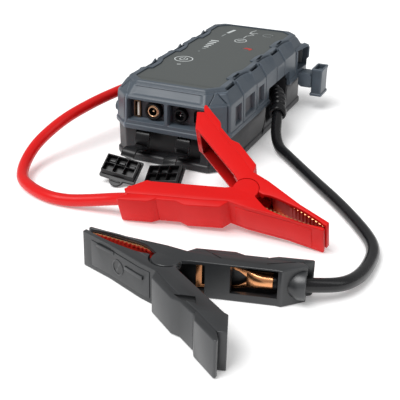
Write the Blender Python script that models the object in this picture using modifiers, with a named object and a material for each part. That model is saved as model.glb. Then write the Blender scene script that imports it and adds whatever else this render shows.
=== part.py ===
"""Jump starter pack: housing, ports, covers, cables and two battery clamps.

X runs to the right seen from the port end, Y from the port end to the lamp end, Z up.
Sizes below are in millimetres; every mesh is scaled once to metres when it is made.
"""
import math

import bmesh
import bpy
from mathutils import Matrix, Vector

for old in list(bpy.data.objects):
    bpy.data.objects.remove(old, do_unlink=True)

MM = 0.001
WELD = 0.000002
AXIS_TURN = {'x': (math.pi / 2, 0.0, math.pi / 2), 'y': (math.pi / 2, 0.0, 0.0), 'z': (0.0, 0.0, 0.0)}

# housing
HALF_WIDTH = 53.0
HALF_LENGTH = 112.8
SKIRT_BOTTOM = 30.5
SHOULDER_HEIGHT = 58.0
RIM_HEIGHT = 70.5
RIM_HALF_WIDTH = 38.4
FRONT_CHAMFER = 16.0
BACK_CHAMFER = 6.5
PLATE_SEAMS = (-67.0, -33.0, -8.0, 23.0, 46.0, 81.0)
SIDE_WINDOWS = ((-86.0, -71.0), (-62.0, -38.0), (-28.0, -13.0))
RIM_BUMPS = ((-67.0, -33.0), (-8.0, 23.0), (46.0, 81.0))
BUMP_REACH = 3.8
SEAM_HALF = 0.9
SEAM_DEPTH = 1.0
WINDOW_DEPTH = 1.7

# panel and keys
PANEL_TOP = 69.3
PANEL_THICKNESS = 2.4
POWER_KEY = (-22.5, -25.0, 7.6)
LIGHT_KEY = (18.0, 33.0, 5.4)
OVERRIDE_KEY = (20.0, 88.0, 6.4)
KEY_GAP = 0.35

# ports (x, z) on the front, recess depth measured from the front face
RECESS_LOW = 38.2
RECESS_HIGH = 56.2
RECESS_DEPTH = 9.0
LEFT_RECESS = (-34.8, -1.2)
RIGHT_RECESS = (2.6, 36.2)
USB_SLOT = (-28.9, 46.4)
OUTLET = (-13.3, 46.6)
OUTLET_RADIUS = 7.6
INLET = (11.4, 46.6)
INLET_RADIUS = 6.0
MICRO_SLOT = (25.2, 46.6)

# side port
SIDE_RECESS = ((25.5, 60.0), (85.0, 110.0), (39.4, 58.4))
SIDE_FRAME = ((51.3, 31.4), (54.9, 31.4), (55.6, 32.4), (55.6, 45.0), (57.4, 47.0), (57.4, 57.0),
              (55.4, 60.0), (51.3, 61.0))
LEFT_STUD = (-90.0, 40.6)
SIDE_COVER_CENTRE = (42.0, 97.0, 45.8)
SIDE_COVER_SIZE = (27.0, 21.6, 10.4)
SIDE_COVER_POLE = (49.5, 21.5)
SIDE_COVER_OPEN = 90.0

# front covers: middle of the closed cover, hinge line point and direction, opening angle
COVER_Y = -114.0
COVER_Z = 47.2
LEFT_COVER_X = -18.0
RIGHT_COVER_X = 19.4
COVER_HALF = 16.0
LEFT_HINGE = ((3.87, -125.92, 18.4), (0.99872, 0.02424, -0.04428), 128.5)
RIGHT_HINGE = ((-10.57, -122.72, 15.77), (0.9929, -0.07348, 0.09359), 124.5)

# cables
CABLE_RADIUS = 4.8
BOOT_RADIUS = 7.6
RED_ROUTE = (
    (-36.9, 33.4, 31.6), (-43.5, 31.0, 32.8), (-53, 24.6, 36), (-62, 5, 38.5), (-69, -20, 39),
    (-78, -50, 37.5),
    (-87, -84, 34.5), (-95, -118, 29), (-101, -148, 19), (-99, -172, 10.5), (-89, -193, 6), (-72, -206, 5.1),
    (-52, -213.5, 5.1), (-35, -214.5, 5.8), (-18, -213.5, 8.6), (3.5, -212.2, 13.4))
BLACK_ROUTE = (
    (36.9, 33.4, 31.6), (43.5, 31.0, 32.6), (53, 23, 32.6), (61, 6, 29), (66, -12, 22), (71, -28, 13),
    (79, -41, 6.6), (92, -55, 5.1), (124, -92, 5.1), (159, -132, 5.1), (186, -168, 5.1), (197, -190, 5.1),
    (199.5, -212, 5.2), (197.5, -236, 7), (190, -255.5, 10))

# clamps: tip position, heading of the tip-to-handle line, its climb and the roll about it, in degrees
RED_POSE = ((167.09, -204.44, 13.60), 167.62, 8.57, -24.45)
BLACK_POSE = ((22.2, -283.7, 13.25), -12.33, 0.0, 0.0)
CLAMP_HALF = 13.0
CHEEK = 2.4
PIVOT_AT = 67.0
LOBE_RADIUS = 9.6
PIN_RADIUS = 2.6
HANDLE_SLOPE = 25.0
CABLE_HOLE_AT = (138.0, 42.2)
PAD_HALF = 11.0
BACK = ((0.4, 4.1), (26.0, 7.6), (57.0, 14.5), (71.7, 16.2), (90.0, 25.8), (117.6, 37.9), (139.0, 48.2))
INSIDE_BACK = ((2.0, 2.9), (26.0, 6.1), (57.0, 12.9), (71.7, 13.8), (90.0, 23.3), (117.6, 35.4),
               (129.6, 41.2))
PADS = ((70.6, 15.1), (73.7, 23.6), (97.0, 35.1), (103.8, 35.1), (118.2, 41.8), (122.0, 46.3), (141.6, 55.8),
        (143.4, 56.0), (143.2, 53.4), (139.6, 49.0), (136.0, 45.2), (117.6, 36.6), (90.0, 24.5), (74.0, 16.2))
TEETH_LINE = ((3.0, 0.5), (15.0, 2.0), (26.0, 3.3), (43.0, 4.3), (50.0, 4.0))
CABLE_CHEEK = ((3.0, 1.0), (15.0, 3.9), (26.0, 5.2), (43.0, 5.4), (53.0, 3.1))
LEVER_CHEEK = ((3.0, 0.5), (14.0, 1.0), (30.0, 1.3), (41.0, 3.0), (50.0, 2.4))
FORK = ((18.0, 0.0, 3.4), (26.0, 0.0, 3.2), (36.0, 0.0, 7.0), (45.0, -0.6, 9.2), (64.0, 1.2, 9.2))
HANDLE_HOLES = (("mouth", 6.6, -16.0, 4.0), ("cable", 5.7, 2.0, 14.0), ("barrel", 6.1, 12.0, 24.0))
TOOTH_PITCH = 3.2
TOOTH_DEPTH = 1.3
HOUSING_SCREWS = ((-38.0, -84.0), (38.0, -84.0), (-38.0, 92.0), (38.0, 92.0))

PART = bpy.data.collections.new("jump_starter_pack")
TOOLS = bpy.data.collections.new("cutters")
for group in (PART, TOOLS):
    bpy.context.scene.collection.children.link(group)
TOOLS.hide_render = True


def material(name, colour, roughness, metallic=0.0):
    made = bpy.data.materials.new(name)
    made.use_nodes = True
    shader = made.node_tree.nodes["Principled BSDF"]
    shader.inputs["Base Color"].default_value = (*colour, 1.0)
    shader.inputs["Roughness"].default_value = roughness
    shader.inputs["Metallic"].default_value = metallic
    made.diffuse_color = (*colour, 1.0)
    return made


def listed(name, data, mat, tool=False):
    """An object for finished data, in the part's collection or among the cutters."""
    made = bpy.data.objects.new(name, data)
    if tool:
        TOOLS.objects.link(made)
        made.display_type = 'WIRE'
        made.hide_render = True
    else:
        PART.objects.link(made)
        data.materials.append(mat)
    return made


def to_mesh(name, work):
    """A mesh from a bmesh, its faces turned outward."""
    bmesh.ops.recalc_face_normals(work, faces=work.faces)
    mesh = bpy.data.meshes.new(name)
    work.to_mesh(mesh)
    work.free()
    return mesh


def oriented(axis, a, b, h):
    """A point in metres from two in-plane millimetres and a height along the named axis."""
    if axis == 'x':
        return Vector((h, a, b)) * MM
    if axis == 'y':
        return Vector((a, h, b)) * MM
    return Vector((a, b, h)) * MM


def stand(made, axis, a, b, h):
    """Put an object made along Z at a place on another axis."""
    made.location = oriented(axis, a, b, h)
    made.rotation_euler = AXIS_TURN[axis]
    return made


def box(name, xs, ys, zs, mat=None, tool=False):
    """A cube primitive stretched to three spans, its origin in the middle."""
    size = [(span[1] - span[0]) * MM for span in (xs, ys, zs)]
    work = bmesh.new()
    bmesh.ops.create_cube(work, size=1.0, matrix=Matrix.Diagonal((*size, 1.0)))
    made = listed(name, to_mesh(name, work), mat, tool)
    made.location = [(span[0] + span[1]) / 2 * MM for span in (xs, ys, zs)]
    return made


def rod(name, radius, count, centre, low, high, mat=None, axis='z', tool=False):
    """A cylinder primitive between two heights on the named axis."""
    work = bmesh.new()
    bmesh.ops.create_cone(work, cap_ends=True, segments=count, radius1=radius * MM, radius2=radius * MM,
                          depth=(high - low) * MM)
    made = listed(name, to_mesh(name, work), mat, tool)
    if not tool:
        made.data.shade_smooth()
        made.data.set_sharp_from_angle(angle=math.radians(35.0))
    return stand(made, axis, *centre, (low + high) / 2)


def slab(name, outline, low, high, mat=None, axis='z', tool=False):
    """A flat outline with a thickness: a filled 2D curve, made a mesh so that it can cut and be cut."""
    data = bpy.data.curves.new(name, 'CURVE')
    data.dimensions = '2D'
    data.fill_mode = 'BOTH'
    data.extrude = (high - low) / 2 * MM
    line = data.splines.new('POLY')
    line.points.add(len(outline) - 1)
    for point, (a, b) in zip(line.points, outline):
        point.co = (a * MM, b * MM, 0.0, 1.0)
    line.use_cyclic_u = True
    curve = bpy.data.objects.new(name + "_outline", data)
    TOOLS.objects.link(curve)
    bpy.context.view_layer.update()
    graph = bpy.context.evaluated_depsgraph_get()
    filled = bpy.data.meshes.new_from_object(curve.evaluated_get(graph))
    work = bmesh.new()
    work.from_mesh(filled)
    bmesh.ops.remove_doubles(work, verts=work.verts, dist=WELD)
    bmesh.ops.dissolve_limit(work, angle_limit=math.radians(0.1), verts=work.verts, edges=work.edges)
    bpy.data.objects.remove(curve, do_unlink=True)
    made = listed(name, to_mesh(name, work), mat, tool)
    return stand(made, axis, 0.0, 0.0, (low + high) / 2)


def circle(radius, count, centre=(0.0, 0.0), start=0.0, sweep=360.0, closed=True):
    steps = count if closed else count - 1
    angles = [math.radians(start + sweep * i / steps) for i in range(count)]
    return [(centre[0] + radius * math.cos(a), centre[1] + radius * math.sin(a)) for a in angles]


def loft(name, rings, mat=None, loop=False, tool=False):
    """Unlike sections of equal count joined in order, closed on itself or capped at both ends."""
    count = len(rings[0])
    last = len(rings) if loop else len(rings) - 1
    work = bmesh.new()
    rows = [[work.verts.new(Vector(p) * MM) for p in ring] for ring in rings]
    for k in range(last):
        here, after = rows[k], rows[(k + 1) % len(rows)]
        for i in range(count):
            j = (i + 1) % count
            work.faces.new((here[i], here[j], after[j], after[i]))
    if not loop:
        work.faces.new(rows[0])
        work.faces.new(rows[-1])
    return listed(name, to_mesh(name, work), mat, tool)


def turned(name, profile, centre, axis, mat=None, count=20, tool=False):
    """A closed shape of revolution: (radius, height) points from the axis round to the axis again."""
    mesh = bpy.data.meshes.new(name)
    points = [(radius * MM, 0.0, height * MM) for radius, height in profile]
    mesh.from_pydata(points, [(i, i + 1) for i in range(len(points) - 1)], [])
    made = listed(name, mesh, mat, tool)
    spin = made.modifiers.new("turn", 'SCREW')
    spin.axis = 'Z'
    spin.steps = count
    spin.render_steps = count
    spin.use_merge_vertices = True
    spin.merge_threshold = WELD
    return stand(made, axis, *centre, 0.0)


def modify(target, tool, operation):
    step = target.modifiers.new(tool.name, 'BOOLEAN')
    step.operation = operation
    step.solver = 'EXACT'
    step.object = tool
    return target


def cut(target, tool):
    return modify(target, tool, 'DIFFERENCE')


def add(target, tool):
    return modify(target, tool, 'UNION')


def holder(name, matrix, parent=None):
    """An empty that carries pieces; the matrix is in millimetres."""
    made = bpy.data.objects.new(name, None)
    PART.objects.link(made)
    made.parent = parent
    shift = matrix.copy()
    shift.translation = matrix.translation * MM
    made.matrix_basis = shift
    return made


def hang(pieces, parent, offset=(0.0, 0.0, 0.0)):
    """Parent pieces to a holder, moved by an offset in the holder's own millimetres."""
    for made in pieces:
        made.parent = parent
        made.location = Vector(made.location) + Vector(offset) * MM


def ramp(value, knots):
    if value <= knots[0][0]:
        return knots[0][1]
    for (a, va), (b, vb) in zip(knots, knots[1:]):
        if value <= b:
            return va + (vb - va) * (value - a) / (b - a)
    return knots[-1][1]


def smooth(points, step):
    """Evenly spaced points on a Catmull-Rom curve through the given ones."""
    guides = [Vector(p) for p in points]
    guides = [guides[0] * 2 - guides[1]] + guides + [guides[-1] * 2 - guides[-2]]
    fine = []
    for k in range(1, len(guides) - 2):
        a, b, c, d = guides[k - 1:k + 3]
        for i in range(16):
            t = i / 16.0
            fine.append(0.5 * (2 * b + (c - a) * t + (2 * a - 5 * b + 4 * c - d) * t * t
                               + (3 * b - a - 3 * c + d) * t ** 3))
    fine.append(guides[-2])
    reach = [0.0]
    for a, b in zip(fine, fine[1:]):
        reach.append(reach[-1] + (b - a).length)
    count = max(2, round(reach[-1] / step))
    even = []
    k = 0
    for i in range(count + 1):
        want = reach[-1] * i / count
        while k < len(reach) - 2 and reach[k + 1] < want:
            k += 1
        part = (want - reach[k]) / max(reach[k + 1] - reach[k], 1e-9)
        even.append(fine[k].lerp(fine[k + 1], part))
    return even


def frames(path, start_side):
    """Tangent and two side directions carried along a path without twist."""
    side = Vector(start_side)
    found = []
    for i, point in enumerate(path):
        ahead = path[min(i + 1, len(path) - 1)]
        behind = path[max(i - 1, 0)]
        tangent = (ahead - behind).normalized()
        side = (side - tangent * side.dot(tangent)).normalized()
        found.append((point, tangent, side, tangent.cross(side)))
    return found


def tube_rings(path, radii, count, start_side=(0, 0, 1)):
    rings = []
    for (point, _, side, other), radius in zip(frames(path, start_side), radii):
        rings.append([point + side * a + other * b for a, b in circle(radius, count)])
    return rings


def tube(name, path, radius, mat, resolution):
    """A round wire or cable: a poly curve with a bevel and filled ends."""
    data = bpy.data.curves.new(name, 'CURVE')
    data.dimensions = '3D'
    data.bevel_depth = radius * MM
    data.bevel_resolution = resolution
    data.use_fill_caps = True
    line = data.splines.new('POLY')
    line.points.add(len(path) - 1)
    for point, at in zip(line.points, path):
        point.co = (*(at * MM), 1.0)
    return listed(name, data, mat)


def sleeve(name, path, radii, bore, mat, count=14):
    outer = tube_rings(path, radii, count)
    inner = tube_rings(path, [bore] * len(path), count)
    return loft(name, outer + inner[::-1], mat, loop=True)


def ribbon(name, path, sides, half_width, half_thick, mat):
    """A flat strap: its width follows the given side directions."""
    rings = []
    for (point, tangent, _, _), side in zip(frames(path, (0, 0, 1)), sides):
        flat = (side - tangent * side.dot(tangent)).normalized()
        thin = tangent.cross(flat).normalized()
        corners = ((1, 1), (-1, 1), (-1, -1), (1, -1))
        rings.append([point + flat * half_width * a + thin * half_thick * b for a, b in corners])
    return loft(name, rings, mat)


grey_rubber = material("bumper_grey", (0.105, 0.120, 0.140), 0.55)
dark_plastic = material("tub_dark", (0.030, 0.031, 0.033), 0.50)
panel_plastic = material("panel_dark", (0.115, 0.122, 0.120), 0.60)
key_plastic = material("key_dark", (0.115, 0.122, 0.120), 0.55)
black_rubber = material("rubber_black", (0.014, 0.014, 0.015), 0.55)
port_plastic = material("port_black", (0.010, 0.010, 0.011), 0.40)
gold = material("contact_gold", (0.72, 0.48, 0.24), 0.30, 1.0)
steel = material("steel", (0.56, 0.56, 0.57), 0.32, 1.0)
tongue_white = material("tongue_white", (0.78, 0.76, 0.70), 0.45)
board_green = material("board_green", (0.02, 0.12, 0.05), 0.50)
cell_blue = material("cell_wrap", (0.05, 0.12, 0.28), 0.40)
frame_black = material("frame_black", (0.03, 0.03, 0.03), 0.60)
copper = material("copper", (0.80, 0.36, 0.18), 0.30, 1.0)
aluminium = material("aluminium", (0.62, 0.63, 0.64), 0.40, 1.0)
lens_clear = material("lens_clear", (0.80, 0.84, 0.86), 0.12)
red_plastic = material("clamp_red", (0.78, 0.020, 0.012), 0.42)
black_plastic = material("clamp_black", (0.022, 0.022, 0.024), 0.45)
red_jacket = material("cable_red", (0.80, 0.022, 0.014), 0.40)
black_jacket = material("cable_black", (0.016, 0.016, 0.018), 0.38)


# ---------------------------------------------------------------- housing
def seam_factor(y):
    return max([0.0] + [1.0 - abs(y - s) / SEAM_HALF for s in PLATE_SEAMS if abs(y - s) < SEAM_HALF])


def window_factor(y):
    value = 0.0
    for a, b in SIDE_WINDOWS:
        value = max(value, ramp(y, ((a, 0), (a + 1, 1), (b - 1, 1), (b, 0))))
    return value


def bump_factor(y):
    value = 0.0
    for a, b in RIM_BUMPS:
        knots = ((a + 0.9, 0), (a + 3.4, 1), (b - 15, 1), (b - 8, 0.65), (b - 0.9, 0))
        value = max(value, ramp(y, knots))
    return value


def side_marks():
    marks = set()
    for s in PLATE_SEAMS:
        marks.update((s - SEAM_HALF, s, s + SEAM_HALF))
    for a, b in SIDE_WINDOWS:
        marks.update((a, a + 1, b - 1, b))
    for a, b in RIM_BUMPS:
        marks.update((a + 3.4, b - 15, b - 8))
    return sorted(marks)


def housing_ring(z, half, front, back, cham_front, cham_back, seam=0.0, window=0.0, bump=0.0):
    """Points of one level of the bumper, counted the same way at every level."""
    right = [(half, cham_front - front), (half - seam, cham_front - front + SEAM_HALF),
             (half, cham_front - front + 2 * SEAM_HALF)]
    for y in side_marks():
        inset = seam * seam_factor(y) + window * window_factor(y) + bump * bump_factor(y)
        right.append((half - inset, y))
    right += [(half, back - cham_back - 2 * SEAM_HALF), (half - seam, back - cham_back - SEAM_HALF),
              (half, back - cham_back)]
    edge = half - cham_front
    front_edge = [(edge - 2 * SEAM_HALF, -front), (edge - SEAM_HALF, seam - front), (edge, -front)]
    edge = half - cham_back
    back_edge = [(edge, back), (edge - SEAM_HALF, back - seam), (edge - 2 * SEAM_HALF, back)]
    half_ring = front_edge + right + back_edge
    left_ring = [(-x, y) for x, y in reversed(half_ring)]
    return [(x, y, z) for x, y in half_ring + left_ring]


def build_upper():
    w = HALF_WIDTH
    f = HALF_LENGTH
    cf = FRONT_CHAMFER
    cb = BACK_CHAMFER
    s = SEAM_DEPTH
    b = BUMP_REACH
    levels = (
        (SKIRT_BOTTOM, w + 1.0, f + 0.8, f + 0.6, cf + 0.4, cb, 0, 0, 0),
        (34.0, w + 1.0, f + 0.8, f + 0.6, cf + 0.4, cb, 0, 0, 0),
        (34.9, w, f, f - 0.2, cf, cb, s, 0, 0),
        (37.4, w, f, f - 0.2, cf, cb, s, 0, 0),
        (38.4, w, f, f - 0.2, cf, cb, s, WINDOW_DEPTH, 0),
        (52.6, w - 0.5, f, f - 0.3, cf, cb, s, WINDOW_DEPTH, 0),
        (53.6, w - 0.5, f, f - 0.3, cf, cb, s, 0, 0),
        (SHOULDER_HEIGHT, w - 0.8, f - 0.3, f - 0.5, cf, cb, s, 0, 0),
        (59.2, w - 1.6, f - 1.3, f - 0.7, cf - 0.3, cb, s, 0, 0),
        (67.7, 45.8, 104.2, 111.4, 13.0, 8.0, s, 0, b),
        (67.2, 44.9, 103.2, 111.0, 12.6, 8.0, 0, 0, b),
        (69.7, 44.3, 102.6, 110.8, 12.4, 8.0, 0, 0, b),
        (RIM_HEIGHT, 43.4, 101.7, 110.5, 12.0, 8.2, 0, 0, b),
        (RIM_HEIGHT, RIM_HALF_WIDTH, 99.3, 109.2, 10.0, 9.4, 0, 0, b),
        (66.8, RIM_HALF_WIDTH, 99.3, 109.2, 10.0, 9.4, 0, 0, b),
        (66.6, 34.6, 96.0, 106.2, 7.5, 8.0, 0, 0, b),
        (64.8, 34.6, 96.0, 106.2, 7.5, 8.0, 0, 0, b),
        (64.6, 39.0, 97.0, 107.6, 8.0, 8.0, 0, 0, 0),
        (57.0, 49.6, 98.0, 109.8, 9.5, 8.0, 0, 0, 0),
        (37.2, 50.2, 98.0, 110.0, 9.5, 8.0, 0, 0, 0),
        (36.8, 50.2, 110.2, 110.2, 15.2, 8.0, 0, 0, 0),
        (SKIRT_BOTTOM, 50.4, 110.4, 110.4, 15.4, 8.0, 0, 0, 0),
    )
    shell = loft("upper_housing", [housing_ring(*level) for level in levels], grey_rubber, loop=True)
    (x0, x1), (y0, y1), (z0, z1) = SIDE_RECESS
    add(shell, box("side_pocket_block", (x0 - 2.2, 51.2), (y0 - 2.2, 110.9), (z0 - 2.0, z1 + 2.0), tool=True))
    add(shell, slab("side_frame", SIDE_FRAME, y0 - 2.6, 112.1, axis='y', tool=True))
    add(shell, rod("left_stud", 4.4, 14, LEFT_STUD, -56.2, -51.6, axis='x', tool=True))
    cut(shell, box("side_pocket_room", (x0, x1), (y0, y1), (z0, z1), tool=True))
    for name, (a, c) in (("left_recess", LEFT_RECESS), ("right_recess", RIGHT_RECESS)):
        cut(shell, box(name, (a, c), (-125, RECESS_DEPTH - f), (RECESS_LOW, RECESS_HIGH), tool=True))
    hole_depth = (-f + 6.0, -94.0)
    cut(shell, box("usb_hole", (USB_SLOT[0] - 3.2, USB_SLOT[0] + 3.2), hole_depth,
                   (USB_SLOT[1] - 7.5, USB_SLOT[1] + 7.5), tool=True))
    cut(shell, box("micro_hole", (MICRO_SLOT[0] - 2.3, MICRO_SLOT[0] + 2.3), hole_depth,
                   (MICRO_SLOT[1] - 4.9, MICRO_SLOT[1] + 4.9), tool=True))
    for name, middle, radius in (("outlet_hole", OUTLET, OUTLET_RADIUS), ("inlet_hole", INLET, INLET_RADIUS)):
        cut(shell, rod(name, radius + 0.4, 24, middle, *hole_depth, axis='y', tool=True))
    for side, name in ((1, "right_notch"), (-1, "left_notch")):
        xs = sorted((side * 47.0, side * 60.0))
        cut(shell, box(name, xs, (0.0, 62.0), (20.0, 44.8), tool=True))
    cut(shell, box("lamp_window", (-34.0, 19.0), (105.0, 120.0), (40.0, 56.0), tool=True))
    return shell


def build_lower():
    levels = (
        (0.0, 49.0, 108.6, 108.6, 15.6, 6.0), (1.3, 50.7, 110.3, 110.3, 16.0, 6.4),
        (6.0, 50.7, 110.3, 110.3, 16.0, 6.4), (7.2, 49.2, 108.9, 108.9, 15.6, 6.0),
        (36.0, 49.7, 109.6, 109.6, 15.2, 7.2), (36.0, 47.4, 107.2, 107.2, 14.2, 6.4),
        (3.0, 46.8, 106.4, 106.4, 14.0, 6.0))
    rings = []
    for z, half, front, back, cf, cb in levels:
        ring = [(half - cf, -front), (half, cf - front), (half, back - cb), (half - cb, back)]
        rings.append([(x, y, z) for x, y in ring + [(-x, y) for x, y in reversed(ring)]])
    tub = loft("lower_housing", rings, dark_plastic)
    for side, name in ((1, "right"), (-1, "left")):
        xs = sorted((side * 35.6, side * 48.6))
        add(tub, box(name + "_pocket_block", xs, (-2.0, 64.0), (1.6, 44.3), tool=True))
        xs = sorted((side * 38.2, side * 60.0))
        cut(tub, box(name + "_pocket_room", xs, (0.6, 61.4), (11.0, 42.6), tool=True))
        xs = sorted((side * 30.0, side * 45.0))
        cut(tub, rod(name + "_cable_hole", CABLE_RADIUS + 1.7, 16, (34.0, 31.6), *xs, axis='x', tool=True))
    add(tub, box("strap_bay_block", (-31.0, 34.0), (-107.9, -98.4), (2.2, 33.4), tool=True))
    cut(tub, box("strap_bay_room", (-28.0, 31.0), (-125.0, -100.9), (7.8, 31.0), tool=True))
    for i, (x, y) in enumerate(HOUSING_SCREWS):
        add(tub, rod(f"boss_{i}", 4.6, 14, (x, y), 2.4, 15.0, tool=True))
        cut(tub, rod(f"boss_head_room_{i}", 3.6, 14, (x, y), -2.0, 3.6, tool=True))
        cut(tub, rod(f"boss_bore_{i}", 1.8, 12, (x, y), 3.0, 13.5, tool=True))
    return tub


def build_panel():
    gap = 0.6
    ring = housing_ring(0, RIM_HALF_WIDTH - gap, 99.3 - gap, 109.2 - gap, 10.0 - 0.4 * gap, 9.4 - 0.4 * gap,
                        0, 0, BUMP_REACH)
    outline = [(x, y) for x, y, _ in ring]
    low = PANEL_TOP - PANEL_THICKNESS + 0.1
    panel = slab("top_panel", outline, low, PANEL_TOP, panel_plastic)
    for name, (x, y, r) in (("power", POWER_KEY), ("light", LIGHT_KEY), ("override", OVERRIDE_KEY)):
        cut(panel, rod(name + "_key_hole", r + KEY_GAP, 28, (x, y), low - 2, PANEL_TOP + 2, tool=True))
        stem = [(0.0, PANEL_TOP + 0.4), (r - 0.3, PANEL_TOP + 0.4), (r, PANEL_TOP + 0.1), (r, 66.3),
                (r + 1.2, 66.3), (r + 1.2, 65.0), (2.2, 65.0), (2.2, 63.4), (0.0, 63.4)]
        turned(name + "_key", stem, (x, y), 'z', key_plastic, 28)


def build_ports():
    """Sockets behind the front face; a profile turned along Y is measured backward from the origin."""
    face = -HALF_LENGTH + 4.3
    x, z = USB_SLOT
    shell = box("usb_out_port", (x - 2.8, x + 2.8), (face + 3, -90.0), (z - 7.1, z + 7.1), steel)
    room = box("usb_out_room", (x - 2.3, x + 2.3), (face - 5, face + 15.0), (z - 6.6, z + 6.6), tool=True)
    cut(shell, room)
    box("usb_out_tongue", (x + 0.3, x + 1.9), (face + 4, face + 14.6), (z - 5.6, z + 5.6), tongue_white)
    r = OUTLET_RADIUS
    jack = rod("dc_out_jack", r, 24, OUTLET, face, face + 16.5, port_plastic, 'y')
    cut(jack, rod("dc_out_bore", 5.4, 24, OUTLET, face - 4, face + 12.4, axis='y', tool=True))
    contact = [(0.0, -face - 1.8), (0.9, -face - 2.2), (0.9, -face - 10.8), (4.2, -face - 10.8),
               (4.2, -face - 0.6), (5.0, -face - 0.6), (5.0, -face - 12.0), (0.0, -face - 12.0)]
    turned("dc_out_contact", contact, OUTLET, 'y', gold, 24)
    r = INLET_RADIUS
    jack = rod("dc_in_jack", r, 24, INLET, face, face + 16.5, port_plastic, 'y')
    cut(jack, rod("dc_in_bore", 3.6, 20, INLET, face - 4, face + 10.0, axis='y', tool=True))
    pin = [(0.0, -face - 2.2), (0.8, -face - 2.6), (0.8, -face - 8.6), (3.2, -face - 8.6), (3.2, -face - 9.7),
           (0.0, -face - 9.7)]
    turned("dc_in_contact", pin, INLET, 'y', steel, 16)
    x, z = MICRO_SLOT
    shell = box("micro_usb_port", (x - 1.9, x + 1.9), (face + 3, -94.5), (z - 4.5, z + 4.5), steel)
    room = box("micro_usb_room", (x - 1.4, x + 1.4), (face - 5, face + 9.0), (z - 4.0, z + 4.0), tool=True)
    cut(shell, room)
    box("side_port_contact", (41.2, 46.6), (109.0, 109.7), (40.6, 57.2), aluminium)


def build_cover(name, centre_x, hinge):
    """A front cover drawn shut over its recess; its holder stands on the hinge line and swings it open."""
    front = COVER_Y - 1.7
    back = COVER_Y + 0.5
    half = COVER_HALF
    low = COVER_Z - 10.6
    high = COVER_Z + 10.6
    tab = circle(6.2, 9, (centre_x, high - 0.6), 0.0, 180.0, closed=False)
    outline = [(centre_x - half + 1.5, low), (centre_x + half - 1.5, low), (centre_x + half, low + 1.5),
               (centre_x + half, high - 1.5), (centre_x + half - 1.5, high)]
    outline += [p for p in tab if p[1] > high - 0.61]
    outline += [(centre_x - half + 1.5, high), (centre_x - half, high - 1.5), (centre_x - half, low + 1.5)]
    cover = slab(name, outline, front, back, black_rubber, 'y')
    side_view = [(back - 0.8, COVER_Z - 8.6), (back + 4.2, COVER_Z - 8.6), (back + 4.2, COVER_Z + 6.9),
                 (back - 0.8, COVER_Z + 8.7)]
    plug = slab(name + "_plug", side_view, centre_x - half + 1.4, centre_x + half - 1.4, axis='x', tool=True)
    add(cover, plug)
    tools = [plug]
    for i in range(3):
        for j in range(2):
            x0 = centre_x - half + 2.6 + i * 9.1
            z0 = COVER_Z - 7.4 + j * 7.1
            depth = (back - 0.2, back + 8.0)
            room = box(f"{name}_cell_{i}{j}", (x0, x0 + 8.0), depth, (z0, z0 + 6.3), tool=True)
            cut(cover, room)
            tools.append(room)
    point, direction, angle = hinge
    turn = Matrix.Rotation(math.radians(angle), 4, Vector(direction).normalized())
    line = holder(name + "_hinge", Matrix.Translation(point) @ turn)
    hang([cover] + tools, line, -Vector(point))
    edge = Vector((centre_x, front + 1.1, low)) - Vector(point)
    return Vector(point) + turn.to_3x3() @ edge, turn.to_3x3()


def build_strap(name, centre_x, shift, end, turn):
    """A strap from the bay behind the skirt down to the open cover's edge."""
    away = turn @ Vector((0, 0, -1))
    side_end = turn @ Vector((1, 0, 0))
    stop = end + away * 1.6
    guides = [Vector((centre_x, -102.2, 26.0)), Vector((centre_x, -105.5, 28.6)),
              Vector((centre_x, -110.6, 27.2)), Vector((centre_x, -112.9, 21.5)),
              Vector((centre_x + shift * 0.2, -113.4, 14.5)), stop + away * 7.0 + Vector((0, 0, 0.6)), stop]
    path = smooth(guides, 3.0)
    sides = [Vector((1, 0, 0)).lerp(side_end, i / (len(path) - 1)) for i in range(len(path))]
    return ribbon(name, path, sides, 6.0, 0.9, black_rubber)


def build_side_cover():
    """The side cap drawn shut in its recess; its holder stands on the pole and swings it a quarter turn."""
    cx, cy, cz = SIDE_COVER_CENTRE
    lx, ly, lz = SIDE_COVER_SIZE
    x0 = cx - lx / 2
    x1 = cx + lx / 2
    cap = box("side_port_cover", (x0, x1), (cy - ly / 2, cy + ly / 2), (cz - lz / 2, cz + lz / 2),
              grey_rubber)
    lip = box("side_cover_lip", (x0 - 0.2, x0 + 2.0), (cy - ly / 2 - 0.5, cy + ly / 2 + 0.5),
              (cz - lz / 2 - 0.5, cz + lz / 2 + 0.5), tool=True)
    foot = box("side_cover_foot", (x1 - 1.8, x1 + 0.6), (cy - ly / 2 - 0.9, cy + ly / 2 + 0.9),
               (cz - lz / 2 - 0.9, cz + lz / 2 + 0.9), tool=True)
    room = box("side_cover_room", (x0 - 4, x1 - 2.6), (cy - ly / 2 + 1.6, cy + ly / 2 - 1.6),
               (cz - lz / 2 + 1.6, cz + lz / 2 - 1.6), tool=True)
    add(cap, lip)
    add(cap, foot)
    cut(cap, room)
    pole = Vector((SIDE_COVER_POLE[0], cy, SIDE_COVER_POLE[1]))
    turn = Matrix.Rotation(math.radians(SIDE_COVER_OPEN), 4, 'Y')
    hang((cap, lip, foot, room), holder("side_cover_hinge", Matrix.Translation(pole) @ turn), -pole)
    strap = box("side_cover_strap", (56.0, 68.1), (88.0, 104.0), (22.0, 36.8), grey_rubber)
    cut(strap, box("side_strap_under", (58.2, 65.8), (86.0, 106.0), (18.0, 33.6), tool=True))


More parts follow.
